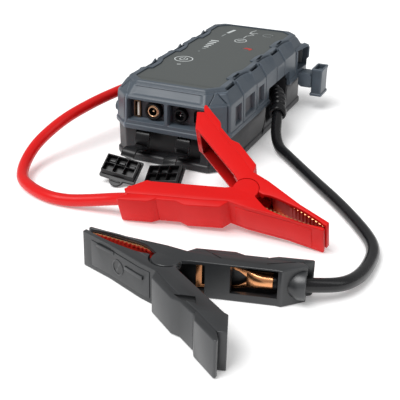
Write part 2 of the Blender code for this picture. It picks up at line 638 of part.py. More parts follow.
def build_inside():
    box("main_board", (-33.0, 33.0), (-92.0, 82.0), (33.8, 35.4), board_green)
    box("led_board", (-29.0, 29.0), (-60.0, 100.0), (61.0, 62.4), board_green)
    spots = ((-1, -1), (1, -1), (-1, 1), (1, 1))
    for label, (i, j) in zip("abcd", spots):
        y = 2.0 + i * 38.0
        z = 11.0 + (0.0 if j < 0 else 11.4)
        box("battery_cell_" + label, (-31.0, 31.0), (y - 36.5, y + 36.5), (z - 5.2, z + 5.2), cell_blue)
    rail = [(-33.8, 4.2), (33.8, 4.2), (33.8, 29.4), (32.0, 29.4), (32.0, 5.2), (-32.0, 5.2), (-32.0, 29.4),
            (-33.8, 29.4)]
    slab("battery_frame", rail, -70.0, 74.0, frame_black, 'y')
    for side, name in ((-1, "busbar_positive"), (1, "busbar_negative")):
        path = [(side * 8.0, 28.6), (side * 24.0, 28.6), (side * 24.0, 30.4), (side * 8.0, 30.4)]
        slab(name, path, 28.0, 44.0, copper, 'y')
    box("power_relay", (-12.0, 14.0), (44.0, 74.0), (35.8, 51.0), port_plastic)
    sink = box("heat_sink", (-20.0, 22.0), (-52.0, -8.0), (35.8, 50.0), aluminium)
    for i in range(5):
        x = -16.4 + i * 8.2
        cut(sink, box(f"fin_gap_{i}", (x - 2.6, x + 2.6), (-60.0, 0.0), (38.6, 56.0), tool=True))
    box("lamp_lens", (-33.6, 18.6), (108.4, 112.2), (40.4, 55.6), lens_clear)
    box("lamp_board", (-30.0, 15.0), (103.0, 104.6), (42.0, 54.0), board_green)
    for i, (x, y) in enumerate(HOUSING_SCREWS):
        profile = [(0.0, 12.9), (1.4, 12.6), (1.4, 3.3), (3.1, 2.5), (3.1, 0.9), (0.0, 0.9)]
        turned(f"housing_screw_{i + 1}", profile, (x, y), 'z', steel, 12)


def build_cable(name, boot_name, route, pose, jacket):
    matrix = clamp_matrix(pose)
    lean = math.radians(HANDLE_SLOPE)
    inward = matrix.to_3x3() @ Vector((-math.cos(lean), -math.sin(lean), 0))
    mouth = matrix @ Vector((*CABLE_HOLE_AT, 0))
    guides = [Vector(p) for p in route] + [mouth - inward * 7.0, mouth + inward * 3.0, mouth + inward * 11.6]
    tube(name, smooth(guides, 6.5), CABLE_RADIUS, jacket, 4)
    sheath = smooth(route[1:5], 2.8)[1:-2]
    radii = []
    for i in range(len(sheath)):
        taper = 1.0 - 0.16 * i / len(sheath)
        rib = 0.0 if i % 3 == 2 else 0.9
        radii.append(BOOT_RADIUS * taper - 0.9 + rib)
    radii[0] = radii[1] = BOOT_RADIUS + 0.5
    radii[-1] = radii[-2] = BOOT_RADIUS + 0.4
    sleeve(boot_name, sheath, radii, CABLE_RADIUS + 0.8, black_rubber)


# ---------------------------------------------------------------- clamps
def clamp_matrix(pose):
    tip, heading, climb, roll = pose
    turn = Matrix.Rotation(math.radians(heading), 4, 'Z') @ Matrix.Rotation(-math.radians(climb), 4, 'Y')
    turn = turn @ Matrix.Rotation(math.radians(roll), 4, 'X')
    return Matrix.Translation(tip) @ turn


def arm_outline(cheek):
    """Side view of one arm: back, end, handle's inner edge, pivot lobe, then the cheek back to the tip."""
    outline = list(BACK) + [(144.0, 45.6), (134.4, 30.2), (131.0, 29.6), (PIVOT_AT + 14.0, 6.6)]
    outline += circle(LOBE_RADIUS, 15, (PIVOT_AT, 0.0), 20.0, -214.0, closed=False)
    return outline + list(reversed(cheek)) + [(0.4, cheek[0][1])]


def teeth_edge():
    teeth = []
    for i in range(int(46.0 / TOOTH_PITCH)):
        s = 3.6 + i * TOOTH_PITCH
        middle = s + TOOTH_PITCH * 0.5
        teeth.append((s, ramp(s, TEETH_LINE)))
        teeth.append((middle, ramp(middle, TEETH_LINE) + TOOTH_DEPTH * (0.5 + 0.5 * min(1.0, i / 4.0))))
    return teeth


def cable_arm_rooms(name):
    """Hollows of the arm that carries the cable: one long channel and the window over the crimp."""
    wide = CLAMP_HALF - CHEEK
    room = list(INSIDE_BACK) + [(126.6, 32.0), (103.0, 20.2), (89.6, 13.8), (89.6, 5.0)]
    room += [(PIVOT_AT + 14.0, -12.0), (PIVOT_AT - 14.0, -12.0), (50.0, -3.0), (2.0, -3.0)]
    window = [(103.0, 12.0), (129.0, 24.4), (125.0, 34.0), (101.0, 22.0)]
    return [slab(name + "_room", room, -wide, wide, tool=True),
            slab(name + "_window", window, -7.5, wide - 0.6, tool=True)]


def lever_arm_rooms(name):
    """Hollows of the other arm; it narrows at the pivot to fit between the cheeks of the cable arm."""
    wide = CLAMP_HALF - CHEEK
    narrow = wide - CHEEK - 0.4
    back = list(INSIDE_BACK)
    handle = [(83.0, ramp(83.0, back))] + back[4:] + [(128.0, 20.0), (83.0, -2.0)]
    jaw = back[:2] + [(54.0, ramp(54.0, back)), (54.0, -3.0), (2.0, -3.0)]
    knuckle = [(s, ramp(s, back) - 0.3) for s in (53.0, 57.0, 71.7, 84.0)] + [(84.0, -12.0), (53.0, -12.0)]
    slot = [(96.2, 31.1), (108.3, 26.0), (113.2, 31.8), (103.5, 33.4)]
    pivot = (PIVOT_AT, 0.0)
    return [slab(name + "_handle_room", mirrored(handle), -wide, wide, tool=True),
            slab(name + "_jaw_room", mirrored(jaw), -wide, wide, tool=True),
            slab(name + "_knuckle_room", mirrored(knuckle), -narrow, narrow, tool=True),
            slab(name + "_slot", mirrored(slot), CLAMP_HALF - 1.2, CLAMP_HALF + 6.0, tool=True),
            rod(name + "_disc_top", LOBE_RADIUS + 0.5, 30, pivot, wide - 0.35, wide + 6.0, tool=True),
            rod(name + "_disc_low", LOBE_RADIUS + 0.5, 30, pivot, -wide - 6.0, 0.35 - wide, tool=True),
            rod(name + "_bore", PIN_RADIUS + 0.35, 16, pivot, -CLAMP_HALF - 4, CLAMP_HALF + 4, tool=True)]


def mirrored(outline):
    """The same outline on the other side of the plane between the jaws."""
    return [(s, -t) for s, t in outline]


def build_arm(name, is_lever, mat):
    """One plastic arm: a channel with two cheeks, a closed back and raised grip pads on it."""
    outline = mirrored(arm_outline(LEVER_CHEEK)) if is_lever else arm_outline(CABLE_CHEEK)
    arm = slab(name, outline, -CLAMP_HALF, CLAMP_HALF, mat)
    pads = slab(name + "_pads", mirrored(PADS) if is_lever else PADS, -PAD_HALF, PAD_HALF, tool=True)
    rooms = lever_arm_rooms(name) if is_lever else cable_arm_rooms(name)
    add(arm, pads)
    for made in rooms:
        cut(arm, made)
    return [arm, pads] + rooms


def build_jaw(name, is_lever):
    """The copper jaw set into an arm: a hollow block with a toothed edge."""
    half = CLAMP_HALF - CHEEK - 0.35
    back = [(s, t - 0.35) for s, t in INSIDE_BACK]
    outline = teeth_edge() + [(50.5, 5.4), (50.5, ramp(50.5, back)), back[1], (3.0, ramp(3.0, back))]
    room = [(6.0, -4.0), (6.0, 1.4), (28.0, 4.3), (49.0, 8.8), (53.0, 8.8), (53.0, -4.0)]
    if is_lever:
        outline = mirrored(outline)
        room = mirrored(room)
    jaw = slab(name, outline, -half, half, copper)
    hollow = slab(name + "_room", room, 1.6 - half, half - 1.6, tool=True)
    cut(jaw, hollow)
    return [jaw, hollow]


def build_spring(name):
    """A torsion coil round the pin, both legs leaving along the handles."""
    coil = []
    count = 33
    for i in range(count + 1):
        a = math.radians(115.0 + 1210.0 * i / count)
        w = -5.4 + 10.8 * i / count
        coil.append(Vector((PIVOT_AT + 4.4 * math.cos(a), 4.4 * math.sin(a), w)))
    head = coil[0] + Vector((8.6, 4.0, 0.0))
    tail = coil[-1] + Vector((8.6, -4.0, 0.0))
    return tube(name, [head] + coil + [tail], 0.8, steel, 2)


def build_crimp(name, arm):
    """The barrel on the cable's end with a forked copper strip toward the jaw, and the bores it sits in."""
    barrel = rod(name, 5.4, 16, (0.0, 0.0), 12.5, 20.5, copper, 'x')
    strip = []
    for u, drop, half in FORK:
        low = drop - 0.8
        high = drop + 0.8
        strip.append([(u, low, -half), (u, low, half), (u, high, half), (u, high, -half)])
    fork = loft(name + "_fork", strip, tool=True)
    gap = [(30.0, 0.0), (44.0, -5.4), (50.0, -5.4), (50.0, 5.4), (44.0, 5.4)]
    split = slab(name + "_split", gap, -3.0, 3.0, axis='y', tool=True)
    add(barrel, fork)
    cut(barrel, split)
    holes = []
    for label, radius, start, stop in HANDLE_HOLES:
        hole = rod(f"{name}_{label}_hole", radius, 16, (0.0, 0.0), start, stop, axis='x', tool=True)
        cut(arm, hole)
        holes.append(hole)
    return [barrel, fork, split] + holes


def build_clamp(colour, pose, mat):
    """One clamp hung on a holder at its tip; the lever's pieces hang on a second holder on the pivot."""
    clamp = holder(colour + "_clamp", clamp_matrix(pose))
    pivot = Vector((PIVOT_AT, 0.0, 0.0))
    lever = holder(colour + "_lever_pivot", Matrix.Translation(pivot), clamp)
    fixed = build_arm(colour + "_cable_arm", False, mat)
    hang(fixed + build_jaw(colour + "_fixed_jaw", False), clamp)
    hang(build_arm(colour + "_lever_arm", True, mat) + build_jaw(colour + "_moving_jaw", True), lever, -pivot)
    reach = CLAMP_HALF - CHEEK - 0.3
    pin = rod(colour + "_pivot_pin", PIN_RADIUS, 14, (PIVOT_AT, 0.0), -reach, reach, steel)
    hang([pin, build_spring(colour + "_spring")], clamp)
    lean = Matrix.Rotation(math.radians(HANDLE_SLOPE) + math.pi, 4, 'Z')
    line = holder(colour + "_cable_line", Matrix.Translation((*CABLE_HOLE_AT, 0.0)) @ lean, clamp)
    hang(build_crimp(colour + "_crimp", fixed[0]), line)


build_lower()
build_upper()
build_panel()
build_ports()
for label, middle, hinge_line in (("left", LEFT_COVER_X, LEFT_HINGE), ("right", RIGHT_COVER_X, RIGHT_HINGE)):
    edge_point, open_turn = build_cover("port_cover_" + label, middle, hinge_line)
    build_strap("cover_strap_" + label, middle - 3.0, -6.0, edge_point, open_turn)
build_side_cover()
build_inside()
build_clamp("red", RED_POSE, red_plastic)
build_clamp("black", BLACK_POSE, black_plastic)
build_cable("red_cable", "red_cable_boot", RED_ROUTE, RED_POSE, red_jacket)
build_cable("black_cable", "black_cable_boot", BLACK_ROUTE, BLACK_POSE, black_jacket)
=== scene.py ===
"""Looks of the jump starter pack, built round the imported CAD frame.

Sizes are in millimetres and are scaled to metres when a mesh is made. X is right seen from the
port end, Y runs from the port end to the lamp end, Z is up.
"""
import math

import bmesh
import bpy
from mathutils import Matrix, Vector


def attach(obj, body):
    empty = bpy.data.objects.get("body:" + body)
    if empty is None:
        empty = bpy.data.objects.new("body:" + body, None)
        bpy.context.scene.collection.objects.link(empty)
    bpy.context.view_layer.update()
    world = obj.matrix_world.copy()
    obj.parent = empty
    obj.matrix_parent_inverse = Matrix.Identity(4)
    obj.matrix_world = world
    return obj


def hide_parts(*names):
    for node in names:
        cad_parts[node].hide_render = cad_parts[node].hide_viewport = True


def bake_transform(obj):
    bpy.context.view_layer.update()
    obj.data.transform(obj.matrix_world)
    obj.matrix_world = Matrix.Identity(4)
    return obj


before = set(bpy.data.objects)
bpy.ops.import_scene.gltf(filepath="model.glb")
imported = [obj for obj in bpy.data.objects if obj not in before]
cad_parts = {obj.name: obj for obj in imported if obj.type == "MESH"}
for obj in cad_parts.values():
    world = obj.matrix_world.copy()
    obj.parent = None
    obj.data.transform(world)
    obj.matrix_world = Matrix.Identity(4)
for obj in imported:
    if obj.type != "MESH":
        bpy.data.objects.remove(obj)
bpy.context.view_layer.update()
SCENE = bpy.context.scene
MM = 0.001


# ---- camera
def make_camera():
    heading, dip, roll = math.radians(-22.4), math.radians(25.4), math.radians(1.4)
    ahead = Vector((math.sin(heading) * math.cos(dip), math.cos(heading) * math.cos(dip), -math.sin(dip)))
    right = Vector((math.cos(heading), -math.sin(heading), 0.0))
    up = right.cross(ahead)
    tilted_right = right * math.cos(roll) + up * math.sin(roll)
    tilted_up = up * math.cos(roll) - right * math.sin(roll)
    data = bpy.data.cameras.new("camera")
    data.sensor_width = 36.0
    data.lens = 79.2
    camera = bpy.data.objects.new("camera", data)
    SCENE.collection.objects.link(camera)
    turn = Matrix((tilted_right, tilted_up, -ahead)).transposed().to_4x4()
    camera.matrix_world = Matrix.Translation((0.2914, -0.7386, 0.2976)) @ turn
    SCENE.camera = camera


make_camera()


# ---- materials
def material(name, colour, second, roughness, metallic=0.0, cloud=60.0, grain=900.0, bump=0.15, depth=0.00006,
             edge_highlight_and_hollow_shade=0.0, spread=0.08, coat=0.0, specular=0.5, clear=0.0):
    """A surface with clouded colour, uneven roughness, fine grain, a painted highlight on its edges and
    painted shade in its hollows.
    """
    made = bpy.data.materials.new(name)
    made.use_nodes = True
    tree = made.node_tree
    shader = tree.nodes["Principled BSDF"]
    shader.inputs["Metallic"].default_value = metallic
    shader.inputs["Coat Weight"].default_value = coat
    shader.inputs["Coat Roughness"].default_value = 0.2
    shader.inputs["Specular IOR Level"].default_value = specular
    shader.inputs["Transmission Weight"].default_value = clear
    place = tree.nodes.new("ShaderNodeTexCoord")
    clouds = tree.nodes.new("ShaderNodeTexNoise")
    clouds.inputs["Scale"].default_value = cloud
    clouds.inputs["Detail"].default_value = 4.0
    fine = tree.nodes.new("ShaderNodeTexNoise")
    fine.inputs["Scale"].default_value = grain
    fine.inputs["Detail"].default_value = 3.0
    mix = tree.nodes.new("ShaderNodeMix")
    mix.data_type = 'RGBA'
    mix.inputs["A"].default_value = (*colour, 1.0)
    mix.inputs["B"].default_value = (*second, 1.0)
    rough = tree.nodes.new("ShaderNodeMapRange")
    rough.inputs["To Min"].default_value = max(0.02, roughness - spread)
    rough.inputs["To Max"].default_value = min(1.0, roughness + spread)
    lump = tree.nodes.new("ShaderNodeBump")
    lump.inputs["Strength"].default_value = bump
    lump.inputs["Distance"].default_value = depth
    link = tree.links.new
    link(place.outputs["Object"], clouds.inputs["Vector"])
    link(place.outputs["Object"], fine.inputs["Vector"])
    link(clouds.outputs["Fac"], mix.inputs["Factor"])
    link(clouds.outputs["Fac"], rough.inputs["Value"])
    link(rough.outputs["Result"], shader.inputs["Roughness"])
    link(fine.outputs["Fac"], lump.inputs["Height"])
    link(lump.outputs["Normal"], shader.inputs["Normal"])
    surface = mix.outputs["Result"]
    # Painted light: a painted highlight on edges, lighter where pointiness is high, and painted shade in
    # hollows.
    if edge_highlight_and_hollow_shade:
        geometry = tree.nodes.new("ShaderNodeNewGeometry")
        edge = tree.nodes.new("ShaderNodeMapRange")
        edge.inputs["From Min"].default_value = 0.52
        edge.inputs["From Max"].default_value = 0.60
        edge.inputs["To Max"].default_value = edge_highlight_and_hollow_shade
        lift = tree.nodes.new("ShaderNodeMix")
        lift.data_type = 'RGBA'
        lift.inputs["B"].default_value = (*[min(1.0, c * 2.2 + 0.05) for c in colour], 1.0)
        # Painted shade: hollows and grooves are darkened toward a quarter of the colour.
        hollow = tree.nodes.new("ShaderNodeMapRange")
        hollow.inputs["From Min"].default_value = 0.485
        hollow.inputs["From Max"].default_value = 0.42
        hollow.inputs["To Max"].default_value = 0.8
        sink = tree.nodes.new("ShaderNodeMix")
        sink.data_type = 'RGBA'
        sink.inputs["B"].default_value = (*[c * 0.25 for c in colour], 1.0)
        link(geometry.outputs["Pointiness"], edge.inputs["Value"])
        link(geometry.outputs["Pointiness"], hollow.inputs["Value"])
        link(edge.outputs["Result"], lift.inputs["Factor"])
        link(hollow.outputs["Result"], sink.inputs["Factor"])
        link(surface, lift.inputs["A"])
        link(lift.outputs["Result"], sink.inputs["A"])
        surface = sink.outputs["Result"]
    link(surface, shader.inputs["Base Color"])
    return made


# Materials below given an edge amount (GREY, TUB, RUBBER, RED, BLACK) get a painted highlight on their edges
# and painted shade in their hollows.
GREY = material("moulded_grey", (0.050, 0.065, 0.083), (0.068, 0.086, 0.106), 0.38, edge_highlight_and_hollow_shade=0.6, cloud=45,
                specular=0.4)
# A darker copy of the moulded grey, used as painted shade on the port recess floor and the side window
# floors.
GREY_PAINTED_SHADE = material("grey_recess_painted_shade", (0.036, 0.035, 0.044), (0.048, 0.046, 0.056), 0.42, cloud=80,
                     specular=0.3)
TUB = material("tub_black", (0.014, 0.014, 0.016), (0.024, 0.024, 0.027), 0.40, bump=0.3, edge_highlight_and_hollow_shade=0.4,
               specular=0.35)
PANEL = material("panel_grey", (0.080, 0.088, 0.086), (0.094, 0.102, 0.100), 0.6, bump=0.25, cloud=25,
                 specular=0.3)
KEY = material("key_grey", (0.081, 0.089, 0.087), (0.095, 0.103, 0.101), 0.58, bump=0.25, cloud=25,
               specular=0.3)
RUBBER = material("soft_black", (0.004, 0.004, 0.005), (0.009, 0.009, 0.010), 0.30, bump=0.2, edge_highlight_and_hollow_shade=0.3,
                  specular=0.3)
PORT = material("port_plastic", (0.002, 0.002, 0.003), (0.005, 0.005, 0.006), 0.35, specular=0.18)
BRASS = material("shell_brass", (0.22, 0.13, 0.075), (0.16, 0.10, 0.055), 0.38, metallic=0.8)
GOLD = material("contact_gold", (0.78, 0.50, 0.30), (0.68, 0.42, 0.25), 0.30, metallic=0.7)
STEEL = material("plated_steel", (0.60, 0.60, 0.61), (0.48, 0.48, 0.49), 0.30, metallic=1.0)
WHITE = material("insulator_white", (0.80, 0.76, 0.68), (0.72, 0.69, 0.61), 0.45)
COPPER = material("copper_bright", (0.90, 0.42, 0.20), (0.78, 0.33, 0.14), 0.24, metallic=1.0, grain=500,
                  bump=0.3)
# A dark red copy of the copper for jaw faces: painted shade with a painted reflection of red.
COPPER_SHADE_AND_RED_REFLECTION = material("copper_painted_shade_and_red_reflection", (0.58, 0.030, 0.018), (0.46, 0.024, 0.014), 0.32, metallic=0.3,
                      bump=0.3)
BOARD = material("solder_mask", (0.02, 0.12, 0.05), (0.03, 0.15, 0.07), 0.45)
CELL = material("cell_wrap", (0.05, 0.12, 0.28), (0.07, 0.16, 0.34), 0.40)
ALUMINIUM = material("plain_aluminium", (0.26, 0.27, 0.28), (0.20, 0.21, 0.22), 0.5, metallic=0.6)
LENS = material("lamp_lens", (0.86, 0.89, 0.91), (0.80, 0.84, 0.87), 0.10, clear=0.9)
RED = material("clamp_red", (0.70, 0.006, 0.005), (0.60, 0.004, 0.004), 0.40, bump=0.12, edge_highlight_and_hollow_shade=0.06,
               specular=0.2)
BLACK = material("clamp_black", (0.015, 0.016, 0.018), (0.024, 0.026, 0.028), 0.34, bump=0.35, grain=1300,
                 edge_highlight_and_hollow_shade=0.6, specular=0.6)
RED_JACKET = material("cable_red", (0.72, 0.005, 0.005), (0.62, 0.004, 0.004), 0.32, bump=0.1, specular=0.35)
BLACK_JACKET = material("cable_black", (0.004, 0.004, 0.005), (0.009, 0.009, 0.010), 0.26, bump=0.15,
                        specular=0.4)
PRINT = material("print_white", (0.62, 0.65, 0.65), (0.52, 0.55, 0.55), 0.55)
PRINT_DIM = material("print_grey", (0.25, 0.27, 0.27), (0.20, 0.22, 0.22), 0.55)
PRINT_RED = material("print_red", (0.50, 0.035, 0.025), (0.40, 0.026, 0.019), 0.55)


# ---- mesh helpers
def raw(name, points, faces):
    mesh = bpy.data.meshes.new(name)
    mesh.from_pydata([Vector(p) * MM for p in points], [], faces)
    work = bmesh.new()
    work.from_mesh(mesh)
    bmesh.ops.recalc_face_normals(work, faces=work.faces)
    work.to_mesh(mesh)
    work.free()
    made = bpy.data.objects.new(name, mesh)
    SCENE.collection.objects.link(made)
    return made


def oriented(axis, a, b, h):
    if axis == 'x':
        return (h, a, b)
    if axis == 'y':
        return (a, h, b)
    return (a, b, h)


def prism(name, outline, low, high, axis='z'):
    count = len(outline)
    points = [oriented(axis, a, b, low) for a, b in outline]
    points += [oriented(axis, a, b, high) for a, b in outline]
    faces = [tuple(range(count)), tuple(range(count, 2 * count))]
    faces += [(i, (i + 1) % count, count + (i + 1) % count, count + i) for i in range(count)]
    return raw(name, points, faces)


def box(name, xs, ys, zs):
    return prism(name, [(xs[0], ys[0]), (xs[1], ys[0]), (xs[1], ys[1]), (xs[0], ys[1])], zs[0], zs[1])


def circle(radius, count, centre=(0.0, 0.0), start=0.0, sweep=360.0, closed=True):
    steps = count if closed else count - 1
    angles = [math.radians(start + sweep * i / steps) for i in range(count)]
    return [(centre[0] + radius * math.cos(a), centre[1] + radius * math.sin(a)) for a in angles]


def stack(name, rings, loop=False):
    count = len(rings[0])
    points = [p for ring in rings for p in ring]
    faces = []
    for k in range(len(rings) if loop else len(rings) - 1):
        a = k * count
        b = ((k + 1) % len(rings)) * count
        faces += [(a + i, a + (i + 1) % count, b + (i + 1) % count, b + i) for i in range(count)]
    if not loop:
        faces += [tuple(range(count)), tuple(range(len(points) - count, len(points)))]
    return raw(name, points, faces)


def lathe(name, profile, centre, axis, count=40, loop=False):
    rings = []
    for radius, height in profile:
        ring = circle(max(radius, 0.02), count)
        rings.append([oriented(axis, a + centre[0], b + centre[1], height) for a, b in ring])
    return stack(name, rings, loop)


def bevel(made, width, segments=3, angle=30.0):
    step = made.modifiers.new("edge", 'BEVEL')
    step.width = width * MM
    step.segments = segments
    step.limit_method = 'ANGLE'
    step.angle_limit = math.radians(angle)
    step.miter_outer = 'MITER_ARC'
    return made


def boolean(made, tool, operation):
    step = made.modifiers.new(tool.name, 'BOOLEAN')
    step.operation = operation
    step.solver = 'EXACT'
    step.object = tool
    return made


def cut(made, tool):
    return boolean(made, tool, 'DIFFERENCE')


def add(made, tool):
    return boolean(made, tool, 'UNION')


def work_on(made):
    """Functions that cut and add tools, and the list of the tools that bake has to drop."""
    tools = []

    def carve(tool):
        tools.append(tool)
        cut(made, tool)

    def join(tool):
        tools.append(tool)
        add(made, tool)

    return carve, join, tools


def bake(made, tools=()):
    """Make the modifiers part of the mesh and drop the cutters."""
    bpy.context.view_layer.update()
    graph = bpy.context.evaluated_depsgraph_get()
    mesh = bpy.data.meshes.new_from_object(made.evaluated_get(graph))
    made.modifiers.clear()
    made.data = mesh
    for tool in tools:
        bpy.data.objects.remove(tool, do_unlink=True)
    return made


def place(made, matrix):
    shift = matrix.copy()
    shift.translation = matrix.translation * MM
    made.data.transform(shift)
    if shift.determinant() < 0:
        made.data.flip_normals()
    return made


def done(made, body, mat, stands_for=(), angle=38.0):
    """Give a finished mesh its material, shading and body, and hide the parts it stands for."""
    made.data.materials.clear()
    made.data.materials.append(mat)
    for face in made.data.polygons:
        face.material_index = 0
    made.data.shade_smooth()
    made.data.set_sharp_from_angle(angle=math.radians(angle))
    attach(made, body)
    if stands_for:
        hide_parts(*stands_for)
    return made


def ramp(value, knots):
    if value <= knots[0][0]:
        return knots[0][1]
    for (a, va), (b, vb) in zip(knots, knots[1:]):
        if value <= b:
            return va + (vb - va) * (value - a) / (b - a)
    return knots[-1][1]


def soft(value, low, high):
    t = min(1.0, max(0.0, (value - low) / (high - low)))
    return t * t * (3.0 - 2.0 * t)


def smooth(points, step):
    guides = [Vector(p) for p in points]
    guides = [guides[0] * 2 - guides[1]] + guides + [guides[-1] * 2 - guides[-2]]
    fine = []
    for k in range(1, len(guides) - 2):
        a, b, c, d = guides[k - 1:k + 3]
        for i in range(16):
            t = i / 16.0
            fine.append(0.5 * (2 * b + (c - a) * t + (2 * a - 5 * b + 4 * c - d) * t * t
                               + (3 * b - a - 3 * c + d) * t ** 3))
    fine.append(guides[-2])
    reach = [0.0]
    for a, b in zip(fine, fine[1:]):
        reach.append(reach[-1] + (b - a).length)
    count = max(2, round(reach[-1] / step))
    even = []
    k = 0
    for i in range(count + 1):
        want = reach[-1] * i / count
        while k < len(reach) - 2 and reach[k + 1] < want:
            k += 1
        part = (want - reach[k]) / max(reach[k + 1] - reach[k], 1e-9)
        even.append(fine[k].lerp(fine[k + 1], part))
    return even


def frames(path, start_side=(0, 0, 1)):
    side = Vector(start_side)
    found = []
    for i, point in enumerate(path):
        tangent = (path[min(i + 1, len(path) - 1)] - path[max(i - 1, 0)]).normalized()
        side = (side - tangent * side.dot(tangent)).normalized()
        found.append((point, tangent, side, tangent.cross(side)))
    return found


def tube_rings(path, radii, count):
    return [[point + side * a + other * b for a, b in circle(radius, count)]
            for (point, _, side, other), radius in zip(frames(path), radii)]


# ---- cables
CABLE_RADIUS = 4.8
RED_ROUTE = (
    (-36.9, 33.4, 31.6), (-43.5, 31.0, 32.8), (-53, 24.6, 36), (-62, 5, 38.5), (-69, -20, 39),
    (-78, -50, 37.5), (-87, -84, 34.5), (-95, -118, 29), (-101, -148, 19), (-99, -172, 10.5),
    (-89, -193, 6), (-72, -206, 5.1), (-52, -213.5, 5.1), (-35, -214.5, 5.8), (-18, -213.5, 8.6),
    (3.5, -212.2, 13.4))
BLACK_ROUTE = (
    (36.9, 33.4, 31.6), (43.5, 31.0, 32.6), (53, 23, 32.6), (61, 6, 29), (66, -12, 22), (71, -28, 13),
    (79, -41, 6.6), (92, -55, 5.1), (124, -92, 5.1), (159, -132, 5.1), (186, -168, 5.1), (197, -190, 5.1),
    (199.5, -212, 5.2), (197.5, -236, 7), (190, -255.5, 10))
RED_POSE = ((167.09, -204.44, 13.60), 167.62, 8.57, -24.45)
BLACK_POSE = ((22.2, -283.7, 13.25), -12.33, 0.0, 0.0)
HANDLE_SLOPE = 25.0
CABLE_HOLE_AT = (138.0, 42.2)


def clamp_matrix(pose):
    tip, heading, climb, roll = pose
    turn = Matrix.Rotation(math.radians(heading), 4, 'Z') @ Matrix.Rotation(-math.radians(climb), 4, 'Y')
    return Matrix.Translation(tip) @ turn @ Matrix.Rotation(math.radians(roll), 4, 'X')


def cable(name, node, route, pose, mat):
    matrix = clamp_matrix(pose)
    lean = math.radians(HANDLE_SLOPE)
    inward = matrix.to_3x3() @ Vector((-math.cos(lean), -math.sin(lean), 0))
    mouth = matrix @ Vector((*CABLE_HOLE_AT, 0))
    guides = [Vector(p) for p in route] + [mouth - inward * 7.0, mouth + inward * 3.0, mouth + inward * 11.6]
    path = smooth(guides, 4.0)
    data = bpy.data.curves.new(name, 'CURVE')
    data.dimensions = '3D'
    data.bevel_depth = CABLE_RADIUS * MM
    data.bevel_resolution = 6
    data.use_fill_caps = True
    line = data.splines.new('POLY')
    line.points.add(len(path) - 1)
    for point, at in zip(line.points, path):
        point.co = (*(at * MM), 1.0)
    data.materials.append(mat)
    line.use_smooth = True
    made = bpy.data.objects.new(name, data)
    SCENE.collection.objects.link(made)
    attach(made, "pack")
    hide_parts(node)
    return made, path


RED_CABLE = cable("red_cable_run", "red_cable", RED_ROUTE, RED_POSE, RED_JACKET)
BLACK_CABLE = cable("black_cable_run", "black_cable", BLACK_ROUTE, BLACK_POSE, BLACK_JACKET)

# ---- housing
HALF_WIDTH = 53.0
HALF_LENGTH = 112.8
SKIRT_BOTTOM = 30.5
RIM_HEIGHT = 70.5
RIM_HALF_WIDTH = 38.4
PLATE_SEAMS = (-67.0, -33.0, -8.0, 23.0, 46.0, 81.0)
SEAM_REACH = 1.0
SEAM_DEPTH = 1.7
SIDE_WINDOWS = ((-86.0, -71.0), (-62.0, -38.0), (-28.0, -13.0))
RIM_BUMPS = ((-67.0, -33.0), (-8.0, 23.0), (46.0, 81.0))
BUMP_REACH = 3.8
# Rows of slots beside the rim: middle, half width, length, floor and where each slot stops.
RIM_SLOTS = (("outer_slot", 44.0, 1.15, 20.0, 64.5, (-69.6, -11.2, 44.6)),
             ("inner_slot", 39.2, 0.9, 15.0, 67.4, (-45.0, 15.0, 72.5)))
PANEL_TOP = 69.3
POWER_KEY = (-22.5, -25.0, 7.6)
LIGHT_KEY = (18.0, 33.0, 5.4)
OVERRIDE_KEY = (20.0, 88.0, 6.4)
RECESS_LOW = 38.2
RECESS_HIGH = 56.2
RECESS_DEPTH = 9.0
LEFT_RECESS = (-34.8, -1.2)
RIGHT_RECESS = (2.6, 36.2)
USB_SLOT = (-28.9, 46.4)
OUTLET = (-13.3, 46.6)
INLET = (11.4, 46.6)
MICRO_SLOT = (25.2, 46.6)
PORT_FACE = -HALF_LENGTH + 4.3


def bump_factor(y):
    value = 0.0
    for a, b in RIM_BUMPS:
        knots = ((a + 0.9, 0), (a + 3.4, 1), (b - 15, 1), (b - 8, 0.65), (b - 0.9, 0))
        value = max(value, ramp(y, knots))
    return value


def raised_factor(y):
    """One inside the plates that stand proud, falling to nothing at their edges."""
    return max(soft(y, a + 0.7, a + 1.7) * (1.0 - soft(y, b - 1.7, b - 0.7)) for a, b in RIM_BUMPS)


def seam_factor(y):
    """How deep a seam is: greatest on its line, nothing beyond its reach."""
    gaps = [abs(y - seam) for seam in PLATE_SEAMS]
    return max([0.0] + [SEAM_DEPTH * (1.0 - gap / SEAM_REACH) for gap in gaps if gap < SEAM_REACH])


def window_factor(y):
    return max(soft(y, a - 0.1, a + 1.0) * (1.0 - soft(y, b - 1.0, b + 0.1)) for a, b in SIDE_WINDOWS)


def side_stations():
    found = set(round(-87.0 + 1.5 * i, 3) for i in range(124))
    near = list(PLATE_SEAMS) + [v for pair in SIDE_WINDOWS for v in pair]
    near += [v for a, b in RIM_BUMPS for v in (a + 3.4, b - 15, b - 8)]
    found = set(y for y in found if all(abs(y - n) > 1.9 for n in near))
    for n in near:
        found.update(round(n + d, 3) for d in (-1.7, -1.3, -1.0, -0.5, 0.0, 0.5, 1.0, 1.3, 1.7))
    return sorted(found)


STATIONS = side_stations()


def corner_points(before, corner, after, radius, count=4):
    one = (before - corner).normalized() * radius
    two = (after - corner).normalized() * radius
    points = []
    for i in range(count):
        t = i / (count - 1)
        points.append(corner + one * (1 - t) ** 2 + two * t ** 2)
    return points


def filled(row):
    """A row of a profile with noughts for the values left out at its end."""
    return (*row, *(0,) * (12 - len(row)))


